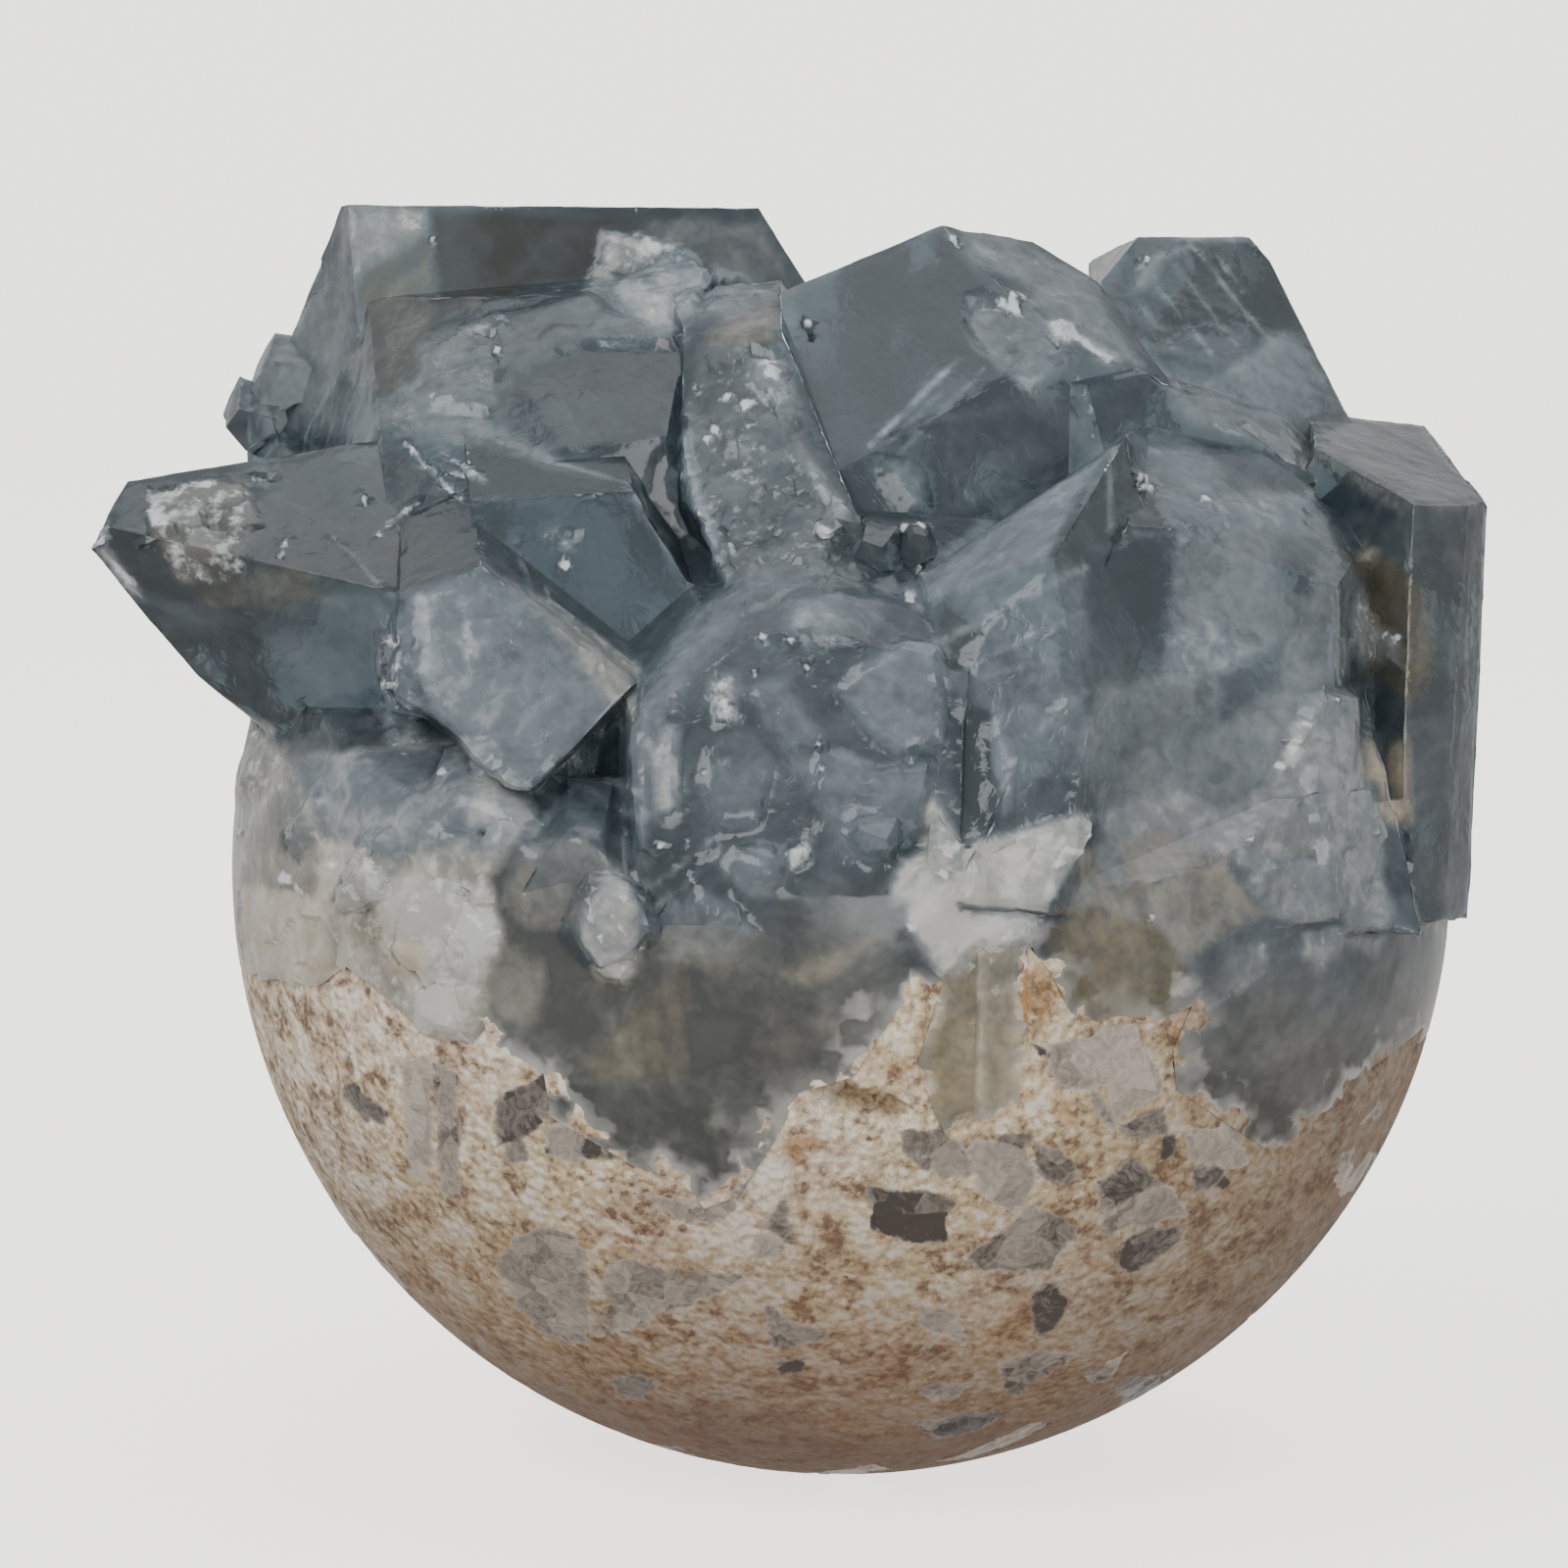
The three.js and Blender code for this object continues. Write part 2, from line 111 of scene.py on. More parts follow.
def cad_tree(*names):
    """Triangles of CAD nodes for finding the nearest point and casting rays, in mm."""
    corners, faces = [], []
    for name in names:
        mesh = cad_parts[name].data
        mesh.calc_loop_triangles()
        first = len(corners)
        corners += [v.co * METRE for v in mesh.vertices]
        faces += [tuple(first + i for i in t.vertices) for t in mesh.loop_triangles]
    return BVHTree.FromPolygons(corners, faces)


# Noise


def hashed(cells, seed):
    """A number from 0 to 1 for each integer cell."""
    h = np.full(len(cells), (seed * 2654435761 + 374761393) % 2**32, np.uint64)
    for k, prime in enumerate((73856093, 19349663, 83492791)):
        h ^= (cells[:, k].astype(np.int64) & 0xFFFFFFFF).astype(np.uint64) * np.uint64(prime)
        h = (h ^ (h >> np.uint64(15))) * np.uint64(2246822519) & np.uint64(0xFFFFFFFF)
    h ^= h >> np.uint64(13)
    return h.astype(float) / 2**32


def noise(points, size, seed):
    """Smooth noise from -1 to 1, with lumps of about that size."""
    p = points / size
    low = np.floor(p)
    t = p - low
    t = t * t * (3 - 2 * t)
    total = np.zeros(len(p))
    for corner in np.ndindex(2, 2, 2):
        weight = np.prod(np.where(corner, t, 1 - t), axis=1)
        total += weight * hashed(low + corner, seed)
    return 2 * total - 1


def layered(points, size, seed, octaves=3):
    return sum(noise(points, size / 2**k, seed + k) / 1.8**k for k in range(octaves)) / 1.6


def shards(points, size, seed):
    """A broken surface of flat, tilted facets of about that size: its height and each facet's tone."""
    p = points / size
    low = np.floor(p)
    best = np.full(len(p), 9.0)
    height = np.zeros(len(p))
    tone = np.zeros(len(p))
    for corner in np.ndindex(3, 3, 3):
        cell = low + corner - 1
        middle = cell + np.stack([hashed(cell, seed + k) for k in range(3)], axis=1)
        away = p - middle
        near = np.sum(away**2, axis=1)
        closer = np.flatnonzero(near < best)
        cell, away = cell[closer], away[closer]
        tilt = np.stack([hashed(cell, seed + 3 + k) for k in range(3)], axis=1) - 0.5
        best[closer] = near[closer]
        height[closer] = 1.4 * np.sum(away * tilt, axis=1) + hashed(cell, seed + 6) - 0.5
        tone[closer] = hashed(cell, seed + 7)
    return height, tone


# Meshes as arrays of points and triangles


def clean_facets(node):
    """A CAD node's points and triangles, with its flat faces cut up anew into good triangles."""
    work = bmesh.new()
    work.from_mesh(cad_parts[node].data)
    for point in work.verts:
        point.co *= METRE
    bmesh.ops.remove_doubles(work, verts=work.verts, dist=1e-3)
    bmesh.ops.dissolve_limit(work, angle_limit=math.radians(0.3), verts=work.verts, edges=work.edges)
    bmesh.ops.triangulate(work, faces=work.faces, quad_method="BEAUTY", ngon_method="BEAUTY")
    points = np.array([v.co for v in work.verts])
    triangles = np.array([[v.index for v in f.verts] for f in work.faces])
    work.free()
    return points, triangles


def divided(points, triangles, longest):
    """Halves the longest edge of each triangle that is longer than its points allow."""
    while True:
        pairs = np.sort(triangles[:, [[0, 1], [1, 2], [2, 0]]], axis=2)
        edges, which = np.unique(pairs.reshape(-1, 2), axis=0, return_inverse=True)
        which = which.reshape(-1, 3)
        ends = points[edges]
        length = np.linalg.norm(ends[:, 0] - ends[:, 1], axis=1)
        allowed = longest[edges].mean(axis=1)
        own = length[which].argmax(axis=1)
        candidate = which[np.arange(len(which)), own]
        split = np.zeros(len(edges), bool)
        split[candidate] = length[candidate] > allowed[candidate]
        if not split.any():
            return points, triangles
        new = np.full(len(edges), -1)
        new[split] = len(points) + np.arange(split.sum())
        points = np.concatenate([points, ends[split].mean(axis=1)])
        longest = np.concatenate([longest, allowed[split]])
        triangles = cut_triangles(triangles, new[which], points)


def fine_facets(node, tree, fine_edge):
    """A node's surface in small triangles: coarse first, then fine where the camera sees it."""
    points, triangles = clean_facets(node)
    points, triangles = divided(points, triangles, np.full(len(points), COARSE_EDGE))
    sight = in_sight(points, point_normals(points, triangles), tree)
    return divided(points, triangles, np.where(sight > 0, fine_edge, COARSE_EDGE))


def finer_at_marks(points, triangles, tree):
    """The triangles at the lines and specks divided further, so that those come out crisp."""
    sight = in_sight(points, point_normals(points, triangles), tree)
    pixels = wobbled(photo_pixels(points), points)
    near = np.zeros(len(points), bool)
    for start, end, half, *_ in LINES:
        near |= segment_distance(*pixels.T, start, end) < half + 2
    for u, v, size in GLINT_SPECKS:
        near |= np.hypot(*(pixels - (u, v)).T) < size + 2
    return divided(points, triangles, np.where(near & (sight > 0), MARK_EDGE, 2 * COARSE_EDGE))


def cut_triangles(triangles, middles, points):
    """Replaces each triangle by those that its split edges make. No middle is -1."""
    count = (middles >= 0).sum(axis=1)
    made = [triangles[count == 0]]
    for turn in range(3):
        t = np.roll(triangles, -turn, axis=1)
        m = np.roll(middles, -turn, axis=1)
        one = (count == 1) & (m[:, 0] >= 0)
        (a, b, c), ab = t[one].T, m[one, 0]
        made += [np.stack([a, ab, c], axis=1), np.stack([ab, b, c], axis=1)]
        two = (count == 2) & (m[:, 2] < 0)
        (a, b, c), (ab, bc) = t[two].T, m[two, :2].T
        made.append(np.stack([ab, b, bc], axis=1))
        first = np.linalg.norm(points[a] - points[bc], axis=1)
        swap = (first > np.linalg.norm(points[ab] - points[c], axis=1))[:, None]
        made.append(np.where(swap, np.stack([a, ab, c], axis=1), np.stack([a, ab, bc], axis=1)))
        made.append(np.where(swap, np.stack([ab, bc, c], axis=1), np.stack([a, bc, c], axis=1)))
    three = count == 3
    (a, b, c), (ab, bc, ca) = triangles[three].T, middles[three].T
    for corner in ([a, ab, ca], [ab, b, bc], [ca, bc, c], [ab, bc, ca]):
        made.append(np.stack(corner, axis=1))
    return np.concatenate(made)


def face_normals(points, triangles):
    a, b, c = points[triangles].transpose(1, 0, 2)
    normals = np.cross(b - a, c - a)
    return normals / np.maximum(np.linalg.norm(normals, axis=1), 1e-12)[:, None]


def point_normals(points, triangles):
    """Normals that give each flat face around a point the same say, however it is cut up."""
    a, b, c = points[triangles].transpose(1, 0, 2)
    flat = face_normals(points, triangles)
    total = np.zeros_like(points)
    for corner, (p, q, r) in enumerate(((a, b, c), (b, c, a), (c, a, b))):
        u = (q - p) / np.maximum(np.linalg.norm(q - p, axis=1), 1e-12)[:, None]
        v = (r - p) / np.maximum(np.linalg.norm(r - p, axis=1), 1e-12)[:, None]
        angle = np.arccos(np.clip(np.sum(u * v, axis=1), -1, 1))
        np.add.at(total, triangles[:, corner], flat * angle[:, None])
    return total / np.maximum(np.linalg.norm(total, axis=1), 1e-12)[:, None]


def smoothed(points, triangles, weight, rounds):
    """Points moved towards the middle of their neighbours, where their weight is above 0."""
    pairs = np.sort(triangles[:, [[0, 1], [1, 2], [2, 0]]], axis=2).reshape(-1, 2)
    a, b = np.unique(pairs, axis=0).T
    count = np.bincount(a, minlength=len(points)) + np.bincount(b, minlength=len(points))
    share = (0.5 * weight / np.maximum(count, 1))[:, None]
    for _ in range(rounds):
        apart = (points[b] - points[a]).T
        pull = [np.bincount(a, part, len(points)) - np.bincount(b, part, len(points)) for part in apart]
        points = points + share * np.stack(pull, axis=1)
    return points


def edge_distances(points, triangles, reach):
    """How far each point is from the nearest sharp outward edge, up to a reach."""
    flat = face_normals(points, triangles)
    pairs = np.sort(triangles[:, [[0, 1], [1, 2], [2, 0]]], axis=2).reshape(-1, 2)
    order = np.lexsort((pairs[:, 1], pairs[:, 0]))
    owner = np.repeat(np.arange(len(triangles)), 3)[order]
    pairs = pairs[order]
    same = np.all(pairs[:-1] == pairs[1:], axis=1)
    edge, left, right = pairs[:-1][same], owner[:-1][same], owner[1:][same]
    bent = np.sum(flat[left] * flat[right], axis=1) < math.cos(math.radians(18))
    edge, left, right = edge[bent], left[bent], right[bent]
    middles = points[triangles].mean(axis=1)
    outward = np.sum((middles[right] - middles[left]) * flat[left], axis=1) < 0
    marks = points[edge[outward]].mean(axis=1)
    tree = KDTree(len(marks))
    for i, mark in enumerate(marks):
        tree.insert(mark, i)
    tree.balance()
    found = np.array([tree.find(p)[2] for p in points])
    return np.minimum(found, reach)


def round_share(points):
    """1 on the surface of the polished round, less inside it and more outside."""
    return np.linalg.norm((points - ROUND_CENTRE) / ROUND_RADII, axis=1)


def polished_points(points, triangles):
    """1 for points that lie on the polished round, and 0 for others."""
    outward = (points[triangles].mean(axis=1) - ROUND_CENTRE) / ROUND_RADII**2
    outward /= np.linalg.norm(outward, axis=1)[:, None]
    share = round_share(points)[triangles]
    on = (np.sum(face_normals(points, triangles) * outward, axis=1) > 0.997) & (share > 0.995).all(axis=1)
    polished = np.zeros(len(points))
    polished[triangles[on]] = 1
    return polished


def made_true(points, polished):
    """Polished points moved out onto the true round."""
    moved = ROUND_CENTRE + (points - ROUND_CENTRE) / round_share(points)[:, None]
    keep = (polished == 0) | (points[:, 2] < 0.02)
    return np.where(keep[:, None], points, moved)


def new_piece(name, points, triangles, masks, material, sharp_angle):
    """A mesh object from arrays in mm, with a float attribute for each mask."""
    mesh = bpy.data.meshes.new(name)
    mesh.from_pydata((points / METRE).tolist(), [], triangles.tolist())
    mesh.validate()
    for key, values in masks.items():
        mesh.attributes.new(key, "FLOAT", "POINT").data.foreach_set("value", values.astype(np.float32))
    mesh.materials.append(material)
    mesh.shade_smooth()
    mesh.set_sharp_from_angle(angle=math.radians(sharp_angle))
    piece = bpy.data.objects.new(name, mesh)
    bpy.context.scene.collection.objects.link(piece)
    return piece


# Marks placed by pixels of the photograph


def blob_mask(pixels, blobs):
    """The most of soft ellipses: middle, half width, half height, turn in degrees and strength."""
    mask = np.zeros(len(pixels))
    for u, v, wide, high, turn, strength in blobs:
        c, s = math.cos(math.radians(turn)), math.sin(math.radians(turn))
        du, dv = pixels[:, 0] - u, pixels[:, 1] - v
        along, across = (c * du + s * dv) / wide, (c * dv - s * du) / high
        mask = np.maximum(mask, strength * np.clip(1.6 - 1.6 * np.hypot(along, across), 0, 1))
    return mask


def inside_distance(pixels, outline):
    """How many pixels each point is inside an outline. Outside it is negative."""
    corners = np.array(outline, float)
    found = np.full(len(pixels), -99.0)
    near = np.all((pixels > corners.min(axis=0) - 20) & (pixels < corners.max(axis=0) + 20), axis=1)
    x, y = pixels[near].T
    inside = np.zeros(len(x), bool)
    nearest = np.full(len(x), 1e9)
    for (x0, y0), (x1, y1) in zip(corners, np.roll(corners, -1, axis=0)):
        if y0 != y1:
            inside ^= ((y0 > y) != (y1 > y)) & (x < x0 + (y - y0) * (x1 - x0) / (y1 - y0))
        nearest = np.minimum(nearest, segment_distance(x, y, (x0, y0), (x1, y1)))
    found[near] = np.where(inside, nearest, -nearest)
    return found


def segment_distance(x, y, start, end):
    side = np.subtract(end, start, dtype=float)
    t = np.clip(((x - start[0]) * side[0] + (y - start[1]) * side[1]) / (side @ side), 0, 1)
    return np.hypot(x - start[0] - t * side[0], y - start[1] - t * side[1])


# What the photograph shows on the crystals, the later over the earlier: an outline, how far it
# stands out in mm, how that rises to the right and downwards, and its cloud, frost and stain.
# On some small patches the frost is a painted glint, and cloud below 0 under the ledge, in the gap,
# in the pocket and on the left prism's face is painted shade.
PATCHES = [
    # back left block
    ([(440, 212), (655, 222), (612, 240), (605, 280), (500, 302), (440, 335)], 0, 0, 0, -0.55, 0, 0.15),
    ([(365, 270), (400, 255), (440, 240), (445, 330), (425, 380), (395, 405), (372, 400)], 0, 0, 0, 0, 0,
     0.45),
    ([(350, 205), (436, 210), (434, 236), (395, 262), (362, 285), (372, 402), (340, 440), (270, 440),
     (255, 385), (300, 335), (338, 280)], 0, 0, 0, 0.4, 0, 0.1),
    ([(352, 207), (434, 212), (432, 234), (390, 262), (350, 262)], 0.1, 0, 0, 0.5, 0.15, 0.2),
    ([(410, 214), (434, 216), (434, 236), (412, 230)], 0.1, 0, 0, 0.8, 0.6, 0.15),
    ([(655, 222), (775, 226), (814, 294), (790, 305), (740, 280), (690, 252), (645, 240)], 0, 0, 0, 0.3,
     0, 0.2),
    ([(432, 345), (500, 322), (600, 298), (640, 320), (705, 345), (690, 362), (600, 358), (535, 385),
     (505, 425), (380, 438), (398, 402), (425, 380)], 0.35, 0.02, 0, 0.2, 0.12, 0.1),
    ([(432, 345), (500, 330), (505, 425), (405, 428), (425, 380)], 0.5, 0.03, 0.02, 0.35, 0.2, 0.15),
    ([(620, 290), (700, 254), (726, 285), (715, 322), (672, 345), (640, 322)], 0.6, 0.1, -0.1, 0.72, 0.1,
     0),
    ([(640, 300), (690, 292), (685, 322), (665, 330)], 0.75, 0, 0.1, 0.9, 0.2, 0),
    ([(726, 272), (760, 280), (792, 302), (755, 338), (715, 322)], 0.35, -0.1, 0, 0.6, 0.05, 0.05),
    ([(617, 236), (692, 252), (640, 280), (598, 298), (612, 268)], 0.5, 0, 0.1, 0.85, 0.3, 0.2),
    ([(648, 243), (690, 251), (684, 256), (655, 253)], 0.6, 0, 0, 0.9, 1, 0),
    ([(718, 340), (792, 302), (790, 352), (722, 358)], 0.1, 0, 0, 0.35, 0, 0.45),
    # Darker under the ledge: painted shade.
    ([(535, 385), (600, 358), (690, 362), (696, 430), (640, 492), (560, 470), (500, 430)], 0, 0, 0, -0.4,
     0, 0),
    # the pale tooth between the blocks
    ([(712, 352), (760, 352), (796, 370), (813, 410), (820, 460), (850, 500), (870, 520), (855, 545),
     (850, 590), (745, 602), (715, 555), (695, 500), (690, 450), (700, 400)], 0.3, 0, 0, 0.25, 0.3, 0.15),
    ([(760, 356), (798, 372), (812, 412), (790, 420), (765, 395)], 0.6, 0.05, 0.1, 0.6, 0.35, 0),
    ([(692, 450), (704, 440), (716, 500), (748, 590), (738, 596), (712, 548)], 0.45, -0.1, 0, 0.75, 0.2,
     0),
    ([(815, 455), (850, 500), (870, 520), (855, 532), (830, 500)], 0.5, 0, 0, 0.75, 0.2, 0.05),
    # The gap between the tooth and the left block, sunk and darkened: painted shade.
    ([(660, 470), (690, 432), (694, 500), (735, 594), (700, 592), (655, 520)], -0.3, 0, 0, -0.4, 0, 0),
    # centre block
    ([(815, 298), (960, 232), (1000, 300), (985, 350), (1060, 395), (1150, 390), (1190, 450),
     (1140, 445), (1000, 540), (960, 562), (870, 520), (850, 480), (815, 400)], 0, 0, 0, -0.2, 0, 0),
    ([(962, 420), (1060, 398), (1150, 390), (1190, 450), (1140, 445), (1000, 540), (960, 520)], 0, 0, 0,
     0.12, 0, 0),
    ([(985, 230), (1040, 240), (1110, 275), (1132, 320), (1172, 380), (1130, 366), (1080, 336),
     (1050, 300), (990, 262)], 0, 0, 0, 0.6, 0.1, 0.08),
    ([(985, 300), (1050, 300), (1080, 338), (1096, 365), (1060, 396), (1030, 386), (995, 350),
     (980, 325)], -0.3, 0.1, 0.1, 0.4, 0.2, 0.05),
    ([(1070, 330), (1096, 335), (1138, 362), (1128, 368), (1090, 350), (1075, 348)], 0.2, 0, 0, 0.9, 0.9,
     0),
    ([(895, 470), (930, 468), (948, 490), (948, 522), (925, 525), (900, 492)], 0.3, 0, 0, 0.35, 0, 0),
    ([(1192, 385), (1235, 388), (1290, 430), (1312, 462), (1225, 436), (1200, 412)], 0.2, 0, 0, 0.4, 0.2,
     0.15),
    ([(1190, 450), (1230, 437), (1310, 465), (1400, 522), (1340, 515), (1300, 502), (1250, 472)], 0, 0,
     0, 0, 0, 0),
    ([(860, 535), (880, 525), (940, 530), (962, 560), (940, 590), (910, 604), (860, 585)], 0.3, 0, 0, 0,
     0.1, 0.1),
    # back right block
    ([(1130, 300), (1160, 240), (1270, 240), (1310, 290), (1345, 360), (1290, 380), (1190, 380)], 0, 0,
     0, -0.25, 0, 0.1),
    ([(1200, 232), (1270, 236), (1282, 247), (1240, 245), (1200, 241)], 0, 0, 0, 0.8, 0.1, 0),
    ([(1155, 302), (1160, 270), (1180, 254), (1212, 252), (1186, 266), (1180, 286)], 0.2, 0, 0, 0.55,
     0.1, 0.1),
    ([(1250, 378), (1310, 335), (1345, 362), (1377, 424), (1290, 432), (1265, 402)], 0, 0, 0, 0.4, 0.05,
     0.05),
    # right block
    ([(1300, 432), (1377, 422), (1432, 422), (1462, 436), (1496, 500), (1500, 522), (1420, 522),
     (1370, 492), (1312, 452)], 0, 0, 0, 0.2, 0, 0.3),
    ([(1345, 522), (1500, 522), (1506, 700), (1500, 900), (1480, 938), (1440, 935), (1440, 850),
     (1392, 720), (1376, 690), (1400, 650), (1380, 600), (1355, 560)], 0, 0, 0, 0.1, 0, 0.12),
    ([(1360, 556), (1420, 570), (1450, 600), (1466, 680), (1440, 720), (1400, 692), (1390, 600)], 0, 0,
     0, 0, 0, 0.7),
    ([(1372, 602), (1392, 592), (1402, 640), (1425, 645), (1433, 682), (1390, 676), (1370, 650)], 0.3,
     0.1, 0, 0.45, 0.35, 0.3),
    ([(1390, 757), (1406, 752), (1411, 772), (1420, 762), (1436, 750), (1440, 838), (1412, 840),
     (1405, 800), (1392, 798)], 0.1, 0, 0, 0.5, 0, 0.75),
    ([(1388, 563), (1402, 560), (1404, 568), (1392, 571)], 0.1, 0, 0, 0.6, 0.2, 0.9),
    # the cloudy mass in front of it
    ([(1200, 500), (1330, 500), (1370, 560), (1395, 600), (1376, 690), (1330, 712), (1330, 780),
     (1250, 822), (1200, 800), (1120, 830), (1100, 760), (1120, 700), (1180, 690), (1195, 620)], 0, 0, 0,
     0.42, 0.05, 0.12),
    ([(1190, 640), (1240, 632), (1290, 660), (1220, 700), (1185, 690)], 0.2, 0, 0, 0.62, 0.1, 0),
    ([(1250, 690), (1312, 650), (1306, 700), (1240, 742)], 0, 0, 0, 0.15, 0, 0),
    ([(1300, 545), (1345, 550), (1340, 610), (1302, 600)], 0, 0, 0, 0.2, 0.1, 0),
    ([(1200, 522), (1230, 510), (1345, 500), (1330, 540), (1250, 545), (1205, 560)], 0.25, 0, 0, 0.55,
     0.2, 0),
    ([(1330, 712), (1382, 702), (1386, 780), (1410, 840), (1412, 900), (1426, 930), (1402, 976),
     (1372, 965), (1345, 995), (1328, 975), (1325, 948), (1290, 930), (1262, 872), (1250, 830), (1300,
     800)], 0.5, 0.05, -0.05, 0.6, 0.1, 0.1),
    ([(1255, 832), (1290, 806), (1300, 832), (1290, 872), (1265, 862)], 0.8, 0.1, 0, 0.65, 0.2, 0.05),
    ([(1120, 830), (1200, 798), (1250, 822), (1330, 780), (1345, 880), (1262, 872), (1200, 900),
     (1130, 880)], 0.1, 0, 0, 0.6, 0.08, 0.15),
    # the striped wedge
    ([(1142, 442), (1100, 478), (1000, 530), (918, 602), (925, 625), (990, 602), (1072, 570),
     (1102, 500)], 0, 0, 0, 0.6, 0, 0),
    ([(1140, 450), (1120, 480), (1075, 565), (1110, 592), (1150, 552), (1200, 550), (1195, 500),
     (1165, 455)], -0.2, 0, 0, 0.05, 0, 0.1),
    ([(1155, 445), (1240, 466), (1250, 500), (1200, 540), (1176, 490)], 0.1, 0, 0, 0.45, 0, 0),
    ([(925, 625), (1072, 570), (1106, 590), (1112, 640), (1108, 700), (1110, 740), (1060, 800),
     (1025, 830), (1020, 742), (990, 712), (930, 682)], 0, 0, 0, 0.35, 0, 0),
    ([(1110, 562), (1195, 550), (1195, 640), (1150, 697), (1116, 660)], 0, 0, 0, 0.02, 0, 0),
    ([(955, 615), (990, 608), (1000, 640), (985, 690), (955, 680)], -0.2, 0, 0, 0.05, 0, 0.1),
    # A dark pocket: painted shade.
    ([(970, 726), (1010, 726), (1015, 790), (1000, 832), (975, 800)], -0.1, 0, 0, -0.15, 0, 0),
    ([(1018, 735), (1034, 760), (1036, 810), (1022, 828), (1014, 790)], 0.3, 0, 0, 0.65, 0.1, 0),
    # left prism
    # The left prism's face, darker: painted shade.
    ([(135, 488), (400, 438), (480, 560), (400, 610), (330, 606), (250, 622), (140, 612), (100, 540)], 0,
     0, 0, -0.25, 0, 0.05),
    ([(155, 500), (255, 492), (265, 540), (235, 600), (180, 600), (150, 545)], 0.1, 0, 0, 0.25, 0.45,
     0.4),
    ([(200, 604), (300, 572), (332, 610), (300, 626), (210, 622)], 0, 0, 0, 0.15, 0, 0.45),
    ([(94, 528), (112, 528), (106, 560), (152, 618), (130, 606), (97, 570)], 0, 0, 0, 0.85, 0.2, 0.15),
    ([(140, 612), (250, 622), (400, 610), (420, 640), (390, 700), (380, 762), (290, 770), (200, 692)], 0,
     0, 0, 0.12, 0, 0),
    ([(384, 622), (418, 622), (425, 700), (440, 760), (395, 770), (384, 700)], 0.3, 0, 0, 0.4, 0.35, 0),
    # left block
    ([(404, 440), (550, 470), (640, 490), (700, 596), (640, 642), (592, 652), (545, 600), (520, 560),
     (470, 560)], 0, 0, 0, -0.1, 0, 0),
    ([(400, 437), (480, 424), (560, 460), (642, 492), (560, 476), (480, 452)], 0.1, 0, 0, 0.3, 0, 0.1),
    ([(556, 545), (590, 545), (585, 562), (570, 560)], 0.1, 0, 0, 0.6, 0.6, 0),
    # the shield
    ([(410, 604), (480, 584), (560, 612), (600, 650), (652, 682), (612, 742), (560, 792), (520, 800),
     (480, 752), (440, 722), (425, 660)], 0, 0, 0, 0.5, 0.05, 0),
    ([(425, 605), (480, 590), (500, 620), (520, 700), (500, 745), (455, 735), (430, 690)], 0.15, 0, 0,
     0.62, 0.08, 0),
    ([(516, 590), (600, 640), (662, 690), (640, 745), (610, 702), (560, 632)], 0.1, 0, 0, 0.6, 0.1, 0.3),
    # the lower left lobes
    ([(252, 738), (280, 742), (290, 770), (380, 762), (480, 752), (530, 798), (548, 832), (500, 900),
     (512, 960), (500, 1012), (480, 1062), (430, 1076), (340, 1072), (300, 1030), (252, 1010), (240,
     940), (235, 830)], 0.25, 0, 0, 0.75, 0.35, 0.3),
    ([(300, 775), (500, 755), (540, 800), (480, 862), (400, 880), (330, 852)], 0.45, 0.05, 0.05, 0.6,
     0.05, 0),
    ([(485, 795), (520, 785), (545, 830), (510, 885), (470, 870)], 0.8, 0.1, 0, 0.75, 0.15, 0),
    ([(255, 850), (300, 800), (330, 870), (325, 915), (250, 905)], 0.35, 0.1, 0, 0.55, 0.05, 0.2),
    ([(360, 882), (500, 902), (512, 985), (482, 1062), (430, 1042), (400, 950)], 0.5, 0, 0.05, 0.95, 0.4,
     0.2),
    ([(470, 905), (512, 950), (500, 1010), (450, 990)], 0.75, 0.1, 0, 1, 0.4, 0.05),
    ([(245, 905), (330, 915), (345, 1000), (290, 1030), (262, 1010)], 0.35, 0, 0, 0.85, 0.3, 0.5),
    ([(262, 1010), (290, 995), (302, 1030), (285, 1070), (265, 1050)], 0.2, 0, 0, 0.35, 0, 0.2),
    ([(398, 955), (432, 962), (428, 998), (400, 990)], 0.5, 0, 0, 0.8, 0.2, 0.7),
    ([(233, 820), (270, 815), (255, 850), (245, 900), (243, 960), (262, 1040), (296, 1110), (275, 1095),
     (245, 1010), (231, 940)], 0, 0, 0, 0.8, 0.05, 0),
    # the round front
    ([(640, 760), (656, 690), (700, 622), (760, 586), (850, 580), (912, 602), (962, 650), (962, 790),
     (900, 882), (800, 862), (700, 842), (655, 832)], 0, 0, 0, 0.15, 0, 0),
    ([(640, 765), (655, 690), (700, 625), (762, 588), (850, 582), (750, 640), (704, 680), (676, 740),
     (662, 832), (650, 830)], 0.35, -0.05, 0, 0.42, 0.02, 0),
    ([(800, 610), (850, 600), (905, 612), (900, 640), (830, 650), (802, 640)], 0.3, 0, 0, 0.55, 0.05, 0),
    ([(760, 702), (800, 690), (850, 762), (902, 782), (955, 772), (950, 852), (892, 880), (850, 862),
     (820, 790), (780, 742)], 0.5, 0.05, 0, 0.45, 0.08, 0),
    ([(850, 702), (922, 652), (962, 662), (966, 762), (920, 772), (880, 742)], 0.6, 0.08, 0, 0.55, 0.02,
     0),
    ([(716, 762), (762, 740), (792, 776), (776, 842), (726, 850), (714, 800)], 0.4, 0, 0.1, 0.35, 0.08,
     0),
    ([(668, 736), (692, 742), (698, 790), (690, 832), (668, 832), (664, 780)], 0.6, 0.2, 0, 0.78, 0.15,
     0),
    # A bright glint on the steps: painted highlight.
    ([(720, 698), (750, 684), (753, 736), (730, 740)], 0.4, 0, 0.3, 0.7, 0.6, 0),
    # between the shield and the round front
